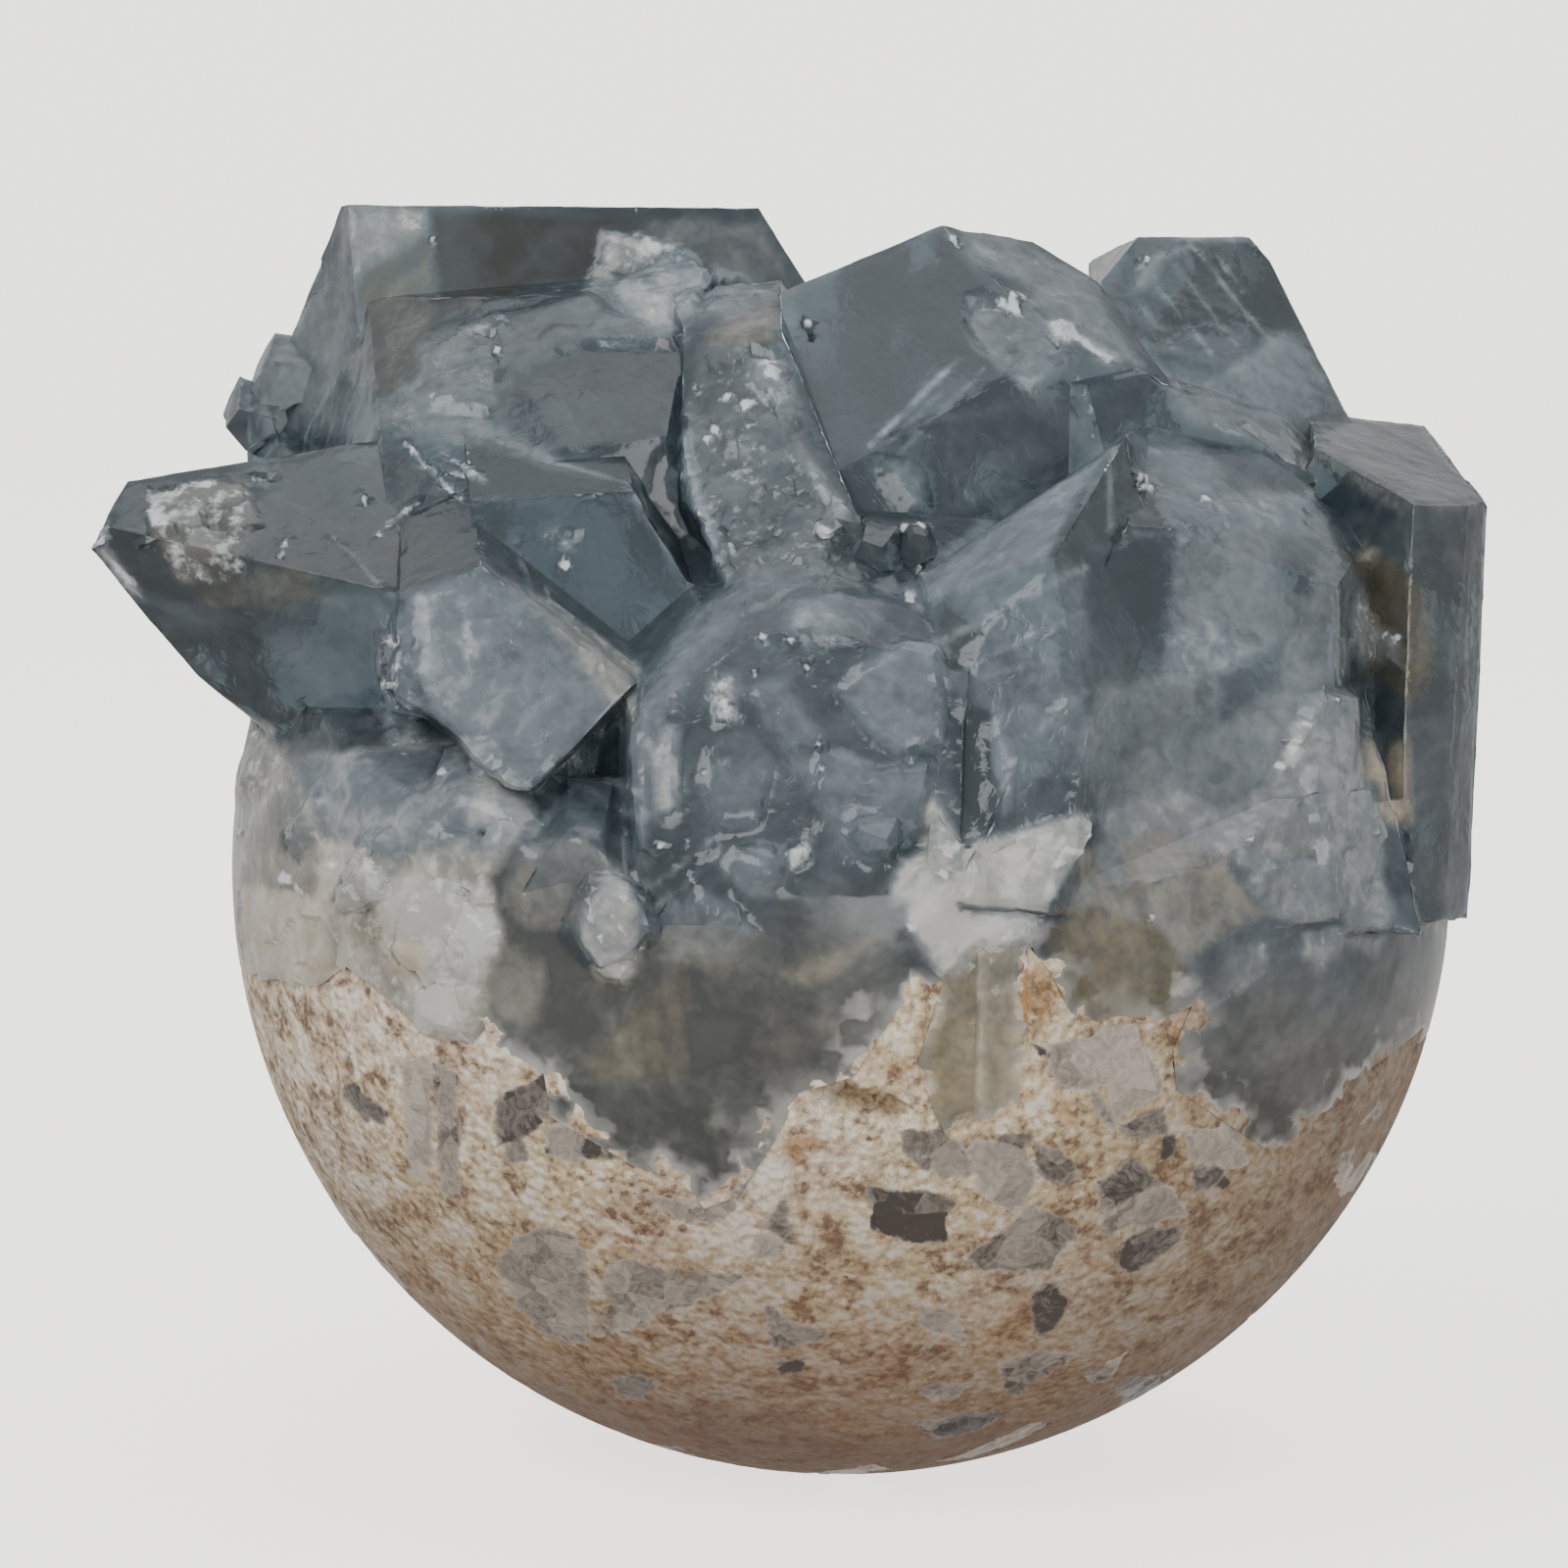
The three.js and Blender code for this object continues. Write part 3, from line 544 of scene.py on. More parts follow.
    ([(560, 792), (612, 742), (655, 832), (650, 880), (600, 892), (510, 900), (548, 832)], -0.1, 0, 0,
     0.2, 0.05, 0),
    ([(545, 862), (600, 850), (640, 890), (600, 942), (545, 952), (505, 920)], 0.2, 0, 0, 0.4, 0.08, 0.2),
    # the clear stone above the windows
    ([(690, 985), (770, 950), (800, 916), (850, 888), (905, 900), (930, 950), (925, 1000)], 0, 0, 0,
     0.16, 0, 0.15),
    ([(1100, 872), (1180, 850), (1250, 872), (1292, 932), (1250, 962), (1180, 985), (1090, 962)], 0, 0,
     0, 0.45, 0, 0.45),
    # veils and faint facets in the polished windows
    ([(502, 980), (536, 963), (563, 991), (541, 1047), (513, 1041), (497, 1019)], 0, 0, 0, 0.38, 0, 0.1),
    ([(563, 974), (647, 1008), (591, 1069), (552, 1047)], 0, 0, 0, -0.05, 0, 0.1),
    ([(702, 985), (702, 1099), (608, 1102), (597, 1085), (647, 1030)], 0, 0, 0, 0.16, 0, 0.35),
    ([(702, 1038), (758, 1041), (747, 1080), (705, 1099)], 0, 0, 0, -0.14, 0, 0.05),
    ([(769, 1002), (924, 980), (913, 1019), (813, 1091), (769, 1102)], 0, 0, 0, 0.14, 0, 0.1),
    ([(797, 991), (869, 963), (902, 952), (891, 974), (824, 1008)], 0, 0, 0, 0.34, 0, 0.4),
    ([(733, 1127), (747, 1149), (724, 1149)], 0, 0, 0, 0.75, 0.3, 0),
    ([(547, 1124), (580, 1141), (608, 1169), (611, 1191), (558, 1158)], 0, 0, 0, 0.75, 0.1, 0),
    ([(1062, 935), (1120, 925), (1190, 950), (1210, 1000), (1190, 1045), (1110, 1046), (1080, 1010)], 0,
     0, 0, 0.05, 0, 0.75),
    ([(1120, 862), (1145, 866), (1148, 892), (1126, 892)], 0, 0, 0, 0.65, 0, 0.1),
    ([(1250, 962), (1285, 960), (1291, 975), (1280, 1000), (1245, 1016), (1238, 1000)], 0, 0, 0, 0.4, 0,
     0.05),
    # small crystals that hang over the front window
    ([(655, 882), (700, 850), (738, 862), (660, 932)], 0.3, 0.1, 0, 0.05, 0.15, 0),
    ([(660, 936), (720, 905), (755, 930), (776, 950), (745, 986), (660, 982)], 0.6, 0.1, -0.1, 0.5, 0.08,
     0),
    ([(745, 862), (790, 860), (802, 890), (790, 916), (760, 916), (740, 890)], 0.5, 0, 0.1, 0.5, 0.12, 0),
    # A bright glint: painted highlight.
    ([(802, 864), (828, 858), (826, 886), (806, 886)], 0.5, 0.1, 0, 0.8, 0.9, 0),
    ([(590, 950), (602, 912), (625, 892), (646, 900), (656, 940), (653, 990), (640, 1006), (610, 992)],
     0.9, 0.1, 0.05, 0.85, 0.25, 0.05),
]
# The pale crystal in front, with its swallow tail, and the short column under it
SWALLOW_TAIL = [
    (946, 822), (956, 810), (966, 840), (986, 856), (1060, 846), (1100, 828), (1114, 832), (1100, 870),
    (1086, 900), (1070, 930), (1066, 956), (1035, 946), (995, 950), (986, 985), (960, 992), (944, 975),
    (930, 950), (926, 920), (912, 922), (906, 900), (920, 880), (940, 868),
]
TAIL_RIGHT = [(1003, 858), (1060, 846), (1114, 832), (1086, 900), (1066, 940), (1002, 944)]
TAIL_FOOT = [(985, 930), (1066, 934), (1068, 960), (1040, 974), (980, 975)]
COLUMN_LEFT = [(962, 1000), (980, 962), (999, 964), (999, 1134), (950, 1146), (935, 1110), (940, 1060)]
COLUMN_RIGHT = [(999, 962), (1038, 966), (1044, 1000), (1054, 1060), (1050, 1125), (999, 1136)]
TAIL_AND_COLUMN = [
    (TAIL_FOOT, 0.45, 0, 0, 0.85, 0.35, 0.25),
    (COLUMN_LEFT, 0.25, 0.2, 0, 0.2, 0.05, 0.8),
    (COLUMN_RIGHT, 0.25, -0.2, 0, 0.5, 0.12, 0.6),
    (SWALLOW_TAIL, 0.4, 0.05, -0.05, 0.95, 0.2, 0.15),
    (TAIL_RIGHT, 0.5, 0.12, 0, 0.85, 0.05, 0.15),
]
OCHRE_WEDGE = [(1038, 966), (1088, 1022), (1062, 1052), (1046, 1050)]
# Bright or dark lines: two ends, half width, cloud and frost. Some are growth stripes; the bright ones along
# crystal edges are painted highlights.
LINES = [
    ((888, 454), (978, 366), 4, 0.7, 0.05), ((900, 458), (960, 400), 3, 0.35, 0),
    ((918, 462), (1004, 376), 3, 0.35, 0), ((1214, 248), (1300, 352), 3, 0.5, 0.1),
    ((1228, 244), (1270, 296), 3, 0.4, 0.1), ((1192, 262), (1262, 350), 3, 0.35, 0),
    ((1176, 286), (1236, 360), 3, 0.35, 0), ((1160, 306), (1200, 356), 3, 0.3, 0),
    ((414, 454), (470, 508), 3, 0.7, 0.9), ((452, 460), (494, 492), 3, 0.7, 0.9),
    ((456, 480), (484, 486), 3, 0.7, 0.8), ((430, 506), (386, 543), 3, 0.7, 0.8),
    ((524, 546), (546, 612), 3, 0.6, 0.2), ((340, 548), (400, 608), 3, 0.5, 0.3),
    ((476, 616), (478, 684), 3, 0.9, 0.3), ((400, 600), (450, 574), 2, -0.2, 0),
    ((592, 776), (655, 812), 4, 0.6, 0.2), ((580, 792), (656, 838), 4, 0.55, 0.1),
    # The bright line along the shield's top edge is a painted highlight.
    ((545, 850), (590, 795), 4, 0.55, 0.1), ((560, 612), (652, 684), 3, 0.7, 0.2),
    ((655, 690), (636, 745), 3, 0.6, 0.3), ((655, 700), (656, 880), 3, 0.6, 0.1),
    ((1135, 456), (1136, 538), 3, 0.6, 0.1), ((955, 654), (1108, 578), 4, 0.62, 0.05),
    ((960, 694), (1106, 624), 3, 0.55, 0.05), ((1052, 750), (1108, 706), 5, 0.6, 0.1),
    ((1010, 672), (1100, 640), 2, 0.2, 0), ((1000, 690), (1106, 668), 3, 0.6, 0),
    ((664, 905), (724, 862), 3, 0.55, 0.3), ((668, 926), (735, 872), 3, 0.5, 0.2),
    ((716, 790), (742, 776), 3, 0.8, 0.8), ((1312, 780), (1326, 738), 4, 0.8, 0.5),
    ((1408, 850), (1406, 880), 3, 0.8, 0.2), ((1436, 560), (1440, 820), 3, 0.25, 0),
    ((1470, 560), (1474, 880), 3, 0.05, 0), ((1288, 962), (1288, 992), 3, 0.75, 0.1),
    ((1288, 992), (1262, 1012), 3, 0.7, 0.1), ((1252, 1016), (1206, 1048), 3, 0.6, 0.1),
    ((999, 972), (999, 1132), 4, 0.9, 0.1), ((1002, 858), (1000, 945), 3, 0.95, 0.1),
    # The bright line along the tail's right edge is a painted highlight.
    ((1110, 838), (1078, 886), 4, 1, 0.9), ((255, 380), (292, 378), 3, 0.6, 0.3),
    ((300, 335), (318, 300), 3, 0.6, 0.2), ((560, 470), (640, 492), 2, 0.6, 0.1),
    ((640, 492), (700, 592), 2, 0.6, 0.1),
]
# Small painted glints, white highlights laid on as specks: middle, size and frost
GLINT_SPECKS = [
    (440, 244, 7), (508, 366, 8), (370, 513, 8), (576, 576, 9), (790, 384, 14), (784, 372, 9),
    (740, 406, 9), (730, 440, 10), (722, 450, 8), (760, 412, 8), (765, 436, 5), (745, 565, 9),
    (716, 530, 6), (842, 542, 12), (975, 245, 9), (825, 332, 11), (1084, 340, 12), (1036, 308, 14),
    (1024, 306, 8), (1165, 486, 9), (1172, 496, 9), (925, 542, 9), (940, 538, 8), (938, 582, 8),
    (928, 608, 10), (1230, 514, 10), (1168, 268, 7), (1282, 256, 8), (738, 700, 10), (738, 716, 10),
    (740, 730, 8), (835, 762, 7), (838, 784, 7), (780, 650, 7), (806, 652, 7), (822, 678, 7),
    (770, 686, 6), (672, 864, 8), (700, 856, 7), (814, 872, 12), (620, 952, 8), (640, 940, 7),
    (300, 895, 12), (310, 908, 8), (375, 884, 12), (342, 882, 9), (450, 908, 9), (458, 790, 7),
    (526, 838, 7), (262, 752, 7), (270, 778, 6), (246, 848, 8), (398, 700, 7), (404, 656, 6),
    (408, 720, 6), (412, 770, 6), (970, 866, 12), (978, 862, 10), (962, 890, 10), (1090, 868, 8),
    (1098, 852, 7), (930, 946, 7), (1176, 938, 7), (1412, 648, 6), (1424, 650, 6), (1308, 780, 7),
    (1318, 760, 8), (1326, 740, 7), (1276, 858, 6), (1358, 718, 5),
]
# White crusts: middle, half width, half height, turn in degrees and strength
CRUSTS = [
    (190, 500, 56, 8, -8, 1.0), (160, 528, 11, 36, -20, 1.0), (175, 555, 10, 28, -45, 0.9),
    (235, 575, 16, 26, -30, 0.8), (104, 545, 6, 30, 10, 0.8), (128, 590, 6, 30, -45, 0.8),
    (290, 560, 8, 16, 20, 0.7), (205, 520, 34, 10, -30, 0.5), (150, 560, 16, 16, 0, 0.5),
    (215, 545, 20, 14, 0, 0.4), (265, 485, 20, 6, 0, 0.5), (240, 530, 12, 22, 20, 0.8),
    (500, 335, 50, 20, -12, 0.35), (460, 370, 30, 40, 0, 0.3), (755, 470, 30, 60, 0, 0.4),
    (800, 520, 40, 30, 30, 0.35), (840, 660, 60, 30, 10, 0.35), (430, 930, 60, 40, 0, 0.4),
    (320, 960, 50, 30, 0, 0.3), (1390, 630, 20, 40, 0, 0.4), (1350, 960, 60, 26, 0, 0.35),
    (600, 900, 60, 40, 0, 0.25),
]


def wobbled(pixels, points):
    """The pixels moved a little, so that outlines come out uneven."""
    shift = np.stack([layered(points, 1.3, 91), layered(points, 1.3, 95)], axis=1)
    return pixels + WOBBLE * shift


def painted(pixels, sight, polished, points):
    """Rise, cloud, frost with painted glints, and stain of each point of the crystals, from the marks and
    noise.
    """
    _, tones = shards(points, 6.0, 101)
    veil = layered(points, 9, 71)
    cloud = np.where(polished > 0, 0.08 + 0.1 * veil, 0.15 + 0.45 * tones * (0.6 + veil) + 0.2 * veil)
    frost_and_glint = np.clip(layered(points, 5, 75) - 0.55, 0, 1)
    stain = np.clip(layered(points, 8, 81) - 0.35, 0, 0.7)
    cloud = np.where(sight > 0, 0.12 + 0.12 * veil, cloud)
    frost_and_glint, stain = np.where(sight > 0, 0, frost_and_glint), np.where(sight > 0, 0.1 * stain, stain)
    rise = np.zeros(len(points))
    moved = wobbled(pixels, points)
    marks = [(inside_distance(moved, outline), *values) for outline, *values in PATCHES + TAIL_AND_COLUMN]
    for depth, out, right, down, *values in marks:
        share = sight * np.clip(0.5 + depth / BLUR, 0, 1)
        touched = share > 0
        if not touched.any():
            continue
        centre = pixels[depth > 0].mean(axis=0) if (depth > 0).any() else pixels[touched].mean(axis=0)
        lean = (pixels[touched] - centre) @ (right, down) / PIXELS_PER_MM
        height = np.clip(1 / 3 + depth[touched] / SLOPE, 0, 1) * (0.75 * out + lean)
        rise[touched] += share[touched] * (height - rise[touched])
        for layer, value in zip((cloud, frost_and_glint, stain), values):
            layer[touched] += share[touched] * (value - layer[touched])
    broken_up = np.clip(0.75 + 0.6 * noise(points, 0.7, 175), 0, 1)
    # Some lines are growth stripes; the bright ones along crystal edges are painted highlights.
    for start, end, half, value, white in LINES:
        share = sight * np.clip(1.5 - segment_distance(*pixels.T, start, end) / half, 0, 1) * broken_up
        cloud += share * (value - cloud)
        frost_and_glint += share * np.maximum(white - frost_and_glint, 0)
    jag = noise(points, 0.45, 171)
    # The specks are painted glints: small white highlights, raised a little.
    for u, v, size in GLINT_SPECKS:
        du, dv = (moved - (u, v)).T
        away = np.maximum(np.abs(du + 0.4 * dv), np.abs(dv - 0.5 * du)) * (1 + 0.35 * jag)
        share = sight * np.clip(1.5 - away / (0.55 * size), 0, 1)
        frost_and_glint = np.maximum(frost_and_glint, share)
        rise += 0.1 * share
    frost_and_glint = np.maximum(frost_and_glint, sight * blob_mask(moved, CRUSTS))
    return rise, cloud, frost_and_glint, stain


def crystal_piece(material, tree):
    """The crystals, dressed."""
    points, triangles = fine_facets("crystals", tree, FINE_EDGE)
    points, triangles = finer_at_marks(points, triangles, tree)
    polished = polished_points(points, triangles)
    normals = point_normals(points, triangles)
    sight = in_sight(points, normals, tree)
    pixels = photo_pixels(points)
    rise, cloud, frost_and_glint, stain = painted(pixels, sight, polished, points)

    below_rim = RIM_HEIGHT - RIM_FALL * points[:, 0] - points[:, 2]
    ragged = 0.3 + np.where(sight > 0, 0.8, 2.0) * layered(points, 4, 85)
    rough_rim = polished * np.clip((ragged - below_rim) / 0.5, 0, 1)
    lobes = polished * np.clip(rise / 0.2, 0, 1)
    natural = np.maximum(1 - polished, np.maximum(rough_rim, lobes))
    edge = edge_distances(points, triangles, 2.0)
    wear = np.clip(1 - edge / (0.45 + 0.3 * noise(points, 2.2, 11)), 0, 1) * (1 - polished)
    nicks = np.clip(layered(points, 1.6, 21) + 0.15, 0, 1)
    # Each broken facet gets a random tone, used as painted shading so that the facets look lit differently.
    broken, facet_painted_shade = shards(points, 1.9, 51)
    crust = 1.6 * frost_and_glint + np.where(sight > 0, 0.2, 0.5) * rough_rim
    crust += np.where(sight > 0, 0, 0.5 * np.clip(layered(points, 7, 31) - 0.4, 0, 1))
    crust = np.clip(crust, 0, 1)
    steps = terraces(points, (0.35, 0.25, 0.9), 0.9, 41) * np.clip(1.8 * noise(points, 8, 45), 0, 1)
    out = -0.04 - 0.2 * wear * (0.35 + nicks) + 0.5 * crust * broken + 0.03 * steps
    out = natural * np.minimum(out + 0.04 * layered(points, 2.4, 61), 0.15)
    out += rise - 0.25 * rough_rim * (1 - lobes)
    points = made_true(points, polished)
    points = points + out[:, None] * normals
    by_rim = np.clip(1.5 - np.abs(below_rim) / 1.2, 0, 1)
    points = smoothed(points, triangles, by_rim * np.where(sight > 0, 1, 0.3), 10)

    rock_tree = cad_tree("host_rock")
    rock = np.array([rock_tree.find_nearest(p)[3] for p in points]) - SEAM
    _, chip = shards(points, 1.0, 141)
    _, large = shards(points, 5.0, 151)
    rock += 1.5 * (chip - 0.5) + 0.6 * noise(points, 0.6, 155)
    ochre = inside_distance(wobbled(pixels, points), OCHRE_WEDGE) / PIXELS_PER_MM
    masks = {
        "polish": 1 - natural,
        "cloud": cloud,
        "frost_and_glint": np.maximum(frost_and_glint, 0.45 * np.clip(wear * nicks, 0, 1) + 0.15 * rough_rim),
        "stain": stain,
        "ochre": np.where(sight > 0, ochre, -9),
        "rock": rock,
        "facet_painted_shade": facet_painted_shade - 0.5,
        "large": large - 0.5,
        "crust": crust,
        "window": polished * np.clip((below_rim + 1.5 * noise(points, 3, 161)) / 5, 0, 1),
    }
    piece = new_piece("crystals_dressed", points, triangles, masks, material, 24)
    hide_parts("crystals")
    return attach(piece, "root")


def terraces(points, along, step, seed):
    """Growth steps across a direction, from 0 to -1 and back."""
    way = np.array(along) / np.linalg.norm(along)
    t = points @ way / step + 0.8 * noise(points, 5, seed)
    return -np.clip(3 * (t - np.floor(t)), 0, 1)


# Fragments of crystal in the rock, as the photograph shows them: tone from dark (0) to pale (1), outline
FRAGMENTS = [
    (0.1, [(348, 1105), (362, 1102), (380, 1125), (398, 1135), (392, 1148), (370, 1145), (350, 1125)]),
    (0.8, [(410, 1085), (440, 1075), (445, 1150), (440, 1210), (418, 1205), (412, 1140)]),
    (0.45, [(440, 1080), (468, 1100), (472, 1220), (448, 1222), (446, 1150)]),
    (0.15, [(500, 1125), (552, 1098), (556, 1140), (535, 1165), (508, 1172)]),
    (0.7, [(552, 1150), (590, 1145), (610, 1170), (590, 1190), (560, 1180)]),
    (0.5, [(505, 1288), (530, 1258), (560, 1250), (598, 1275), (605, 1340), (598, 1372), (560, 1365),
     (525, 1335)]),
    (0.2, [(620, 1405), (650, 1400), (678, 1412), (655, 1428), (630, 1425)]),
    (0.35, [(780, 1325), (800, 1345), (850, 1358), (835, 1375), (785, 1378)]),
    (0.15, [(785, 1388), (820, 1386), (825, 1402), (795, 1405)]),
    (0.05, [(880, 1205), (905, 1212), (955, 1215), (978, 1225), (965, 1245), (968, 1268), (930, 1270),
     (890, 1255)]),
    (0.35, [(915, 1155), (950, 1150), (985, 1165), (995, 1200), (960, 1205), (930, 1185)]),
    (0.7, [(985, 1160), (1040, 1160), (1060, 1200), (1040, 1240), (1000, 1225)]),
    (0.2, [(1012, 1157), (1062, 1157), (1040, 1180), (1020, 1172)]),
    (0.3, [(1052, 1165), (1085, 1170), (1105, 1198), (1090, 1210), (1058, 1200)]),
    (0.3, [(985, 1285), (1010, 1262), (1050, 1230), (1080, 1240), (1085, 1270), (1075, 1298),
     (1000, 1300)]),
    (0.75, [(1068, 1065), (1120, 1055), (1160, 1045), (1170, 1085), (1120, 1115), (1080, 1110)]),
    (0.85, [(1130, 1085), (1170, 1070), (1192, 1115), (1160, 1130), (1130, 1148)]),
    (0.4, [(1115, 1115), (1130, 1120), (1138, 1150), (1190, 1125), (1195, 1160), (1150, 1165),
     (1118, 1140)]),
    (0.2, [(1120, 1205), (1155, 1178), (1190, 1210), (1150, 1225), (1118, 1240)]),
    (0.55, [(1118, 1240), (1190, 1205), (1215, 1240), (1165, 1255), (1130, 1262)]),
    (0.15, [(1135, 1275), (1165, 1255), (1210, 1250), (1200, 1275), (1160, 1300), (1140, 1292)]),
    (0.1, [(1178, 1158), (1200, 1155), (1202, 1180), (1182, 1182)]),
    (0.6, [(1210, 1150), (1260, 1150), (1275, 1190), (1230, 1195), (1212, 1180)]),
    (0.0, [(1214, 1192), (1250, 1186), (1254, 1212), (1216, 1216)]),
    (0.0, [(1052, 1062), (1072, 1070), (1075, 1080), (1062, 1078)]),
    (0.05, [(1055, 1320), (1072, 1308), (1092, 1325), (1082, 1345), (1060, 1375), (1054, 1350)]),
    (0.3, [(935, 1418), (960, 1408), (992, 1412), (980, 1428), (945, 1430)]),
    (0.1, [(930, 1450), (985, 1440), (1035, 1440), (1000, 1462), (950, 1468)]),
    (0.6, [(640, 1215), (700, 1225), (760, 1225), (740, 1248), (690, 1245)]),
]
# Ochre and dark hollows in the rock: middle, half width, half height, turn in degrees and strength
OCHRES = [
    (955, 1005, 16, 16, 0, 0.8), (1060, 1015, 24, 40, -20, 1.0), (815, 1172, 38, 20, -10, 0.8),
    (1085, 1130, 12, 26, -30, 0.9), (1205, 1055, 24, 16, -40, 0.9), (596, 1272, 16, 14, 0, 0.8),
    (1105, 1290, 30, 16, 10, 0.7), (980, 1108, 20, 14, 0, 0.6), (520, 1270, 40, 16, 0, 0.4),
    (900, 1090, 60, 40, 0, 0.35), (650, 1300, 60, 60, 0, 0.3), (820, 1240, 60, 40, 0, 0.3),
    (500, 1120, 30, 40, 0, 0.3), (1020, 1350, 90, 40, 0, 0.3),
]
HOLLOWS = [
    (872, 1122, 52, 15, 12, 0.8), (836, 1102, 20, 12, 0, 0.7), (906, 1130, 22, 14, 0, 0.8),
    (355, 1088, 8, 20, 0, 0.8), (618, 1345, 14, 22, 0, 0.5), (700, 1300, 14, 14, 0, 0.4),
    (660, 1365, 12, 10, 0, 0.5), (1028, 966, 14, 7, 0, 1.0),
]


def scattered_fragments(points, seed):
    """Angular fragments scattered through the rock: how many mm a point is inside one, and its tone."""
    inside = np.full(len(points), -9.0)
    tone = np.zeros(len(points))
    dice = np.random.default_rng(seed)
    for _ in range(300):
        way = dice.normal(size=3)
        middle = ROUND_CENTRE + way / np.linalg.norm(way) * ROUND_RADII
        size = 0.4 + 1.7 * dice.random() ** 2
        faces = dice.normal(size=(7, 3))
        faces /= np.linalg.norm(faces, axis=1)[:, None]
        reach = size * (0.5 + 0.6 * dice.random(7))
        shade = dice.random()
        away = points - middle
        near = np.flatnonzero(np.linalg.norm(away, axis=1) < 3 * size)
        depth = np.min(reach - away[near] @ faces.T, axis=1)
        better = near[depth > inside[near]]
        inside[better] = depth[depth > inside[near]]
        tone[better] = shade
    return inside, tone


def rock_piece(material, tree):
    """The host rock, dressed, and grown up to the crystals."""
    points, triangles = fine_facets("host_rock", tree, ROCK_EDGE)
    polished = polished_points(points, triangles)
    walls = wall_points(points, triangles)
    grown = points + walls[:, None] * seam_growth(points, triangles)
    normals = point_normals(points, triangles)
    sight = in_sight(points, normals, tree)
    pixels = photo_pixels(points)
    moved = wobbled(pixels, points)
    points = np.where(walls[:, None] > 0, grown, made_true(points, polished))

    inside, tone = scattered_fragments(points, 5)
    inside = np.where(sight > 0, inside - 0.5, inside)
    for shade, outline in FRAGMENTS:
        depth = inside_distance(moved, outline) / PIXELS_PER_MM
        better = (sight > 0) & (depth > np.maximum(inside, -0.3))
        inside[better] = depth[better]
        tone[better] = shade
    hollow = sight * blob_mask(moved, HOLLOWS)
    broken, grain_tone = shards(points, 0.9, 25)
    pits = np.clip(noise(points, 0.8, 15) - 0.5, 0, 1) * np.clip(0.6 + noise(points, 6, 16), 0, 1)
    flat, _ = shards(points, 1.6, 65)
    out = polished * (-0.3 * pits * (inside < 0) - 0.05 * np.clip(broken, 0, 1))
    out += polished * (inside > 0) * 0.1 * (flat - 0.3)
    out += (1 - polished) * 0.25 * (broken - 0.4) - 0.5 * hollow * (0.6 + broken)
    points = points + out[:, None] * normals
    points = closed_seam(points, walls, cad_tree("crystals"))
    points[:, 2] = np.maximum(points[:, 2], 0)

    ochre = np.maximum(sight * blob_mask(moved, OCHRES), 0.5 * np.clip(layered(points, 9, 35) - 0.2, 0, 1))
    masks = {"polish": polished, "fragment": inside, "tone": tone, "ochre": ochre, "hollow": hollow}
    piece = new_piece("host_rock_dressed", points, triangles, masks, material, 40)
    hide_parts("host_rock")
    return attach(piece, "root")


def wall_points(points, triangles):
    """1 for points of faces that don't lie on the polished round, rim points among them."""
    on = polished_points(points, triangles)[triangles].all(axis=1)
    share = round_share(points)[triangles].max(axis=1)
    walls = np.zeros(len(points))
    walls[triangles[~on | (share < 0.995)]] = 1
    return walls * (points[:, 2] > FOOT_TOP)


def seam_growth(points, triangles):
    """How points move when every face off the polished round moves out by the seam, corners too."""
    flat = face_normals(points, triangles)
    off = (round_share(points)[triangles].min(axis=1) < 0.995) & (points[triangles[:, 0], 2] > FOOT_TOP)
    squares = np.zeros((len(points), 3, 3))
    pushes = np.zeros((len(points), 3))
    for corner in triangles.T:
        np.add.at(squares, corner, flat[:, :, None] * flat[:, None, :])
        np.add.at(pushes, corner[off], SEAM * flat[off])
    moves = np.einsum("nij,nj->ni", np.linalg.pinv(squares, 0.04, True), pushes)
    return moves * np.minimum(1, 1.2 / np.maximum(np.linalg.norm(moves, axis=1), 1e-9))[:, None]


def closed_seam(points, walls, crystals):
    """The rock's walls along the crystals are moved up to them."""
    moved = points.copy()
    for i in np.flatnonzero(walls):
        nearest, _, _, away = crystals.find_nearest(points[i], SEAM * 3)
        if nearest is not None and away > 0.03:
            moved[i] = np.array(nearest) - (points[i] - np.array(nearest)) * 0.06 / away
    inward = ROUND_CENTRE - moved
    inward /= np.linalg.norm(inward, axis=1)[:, None]
    return moved + 0.02 * walls[:, None] * inward


# Materials


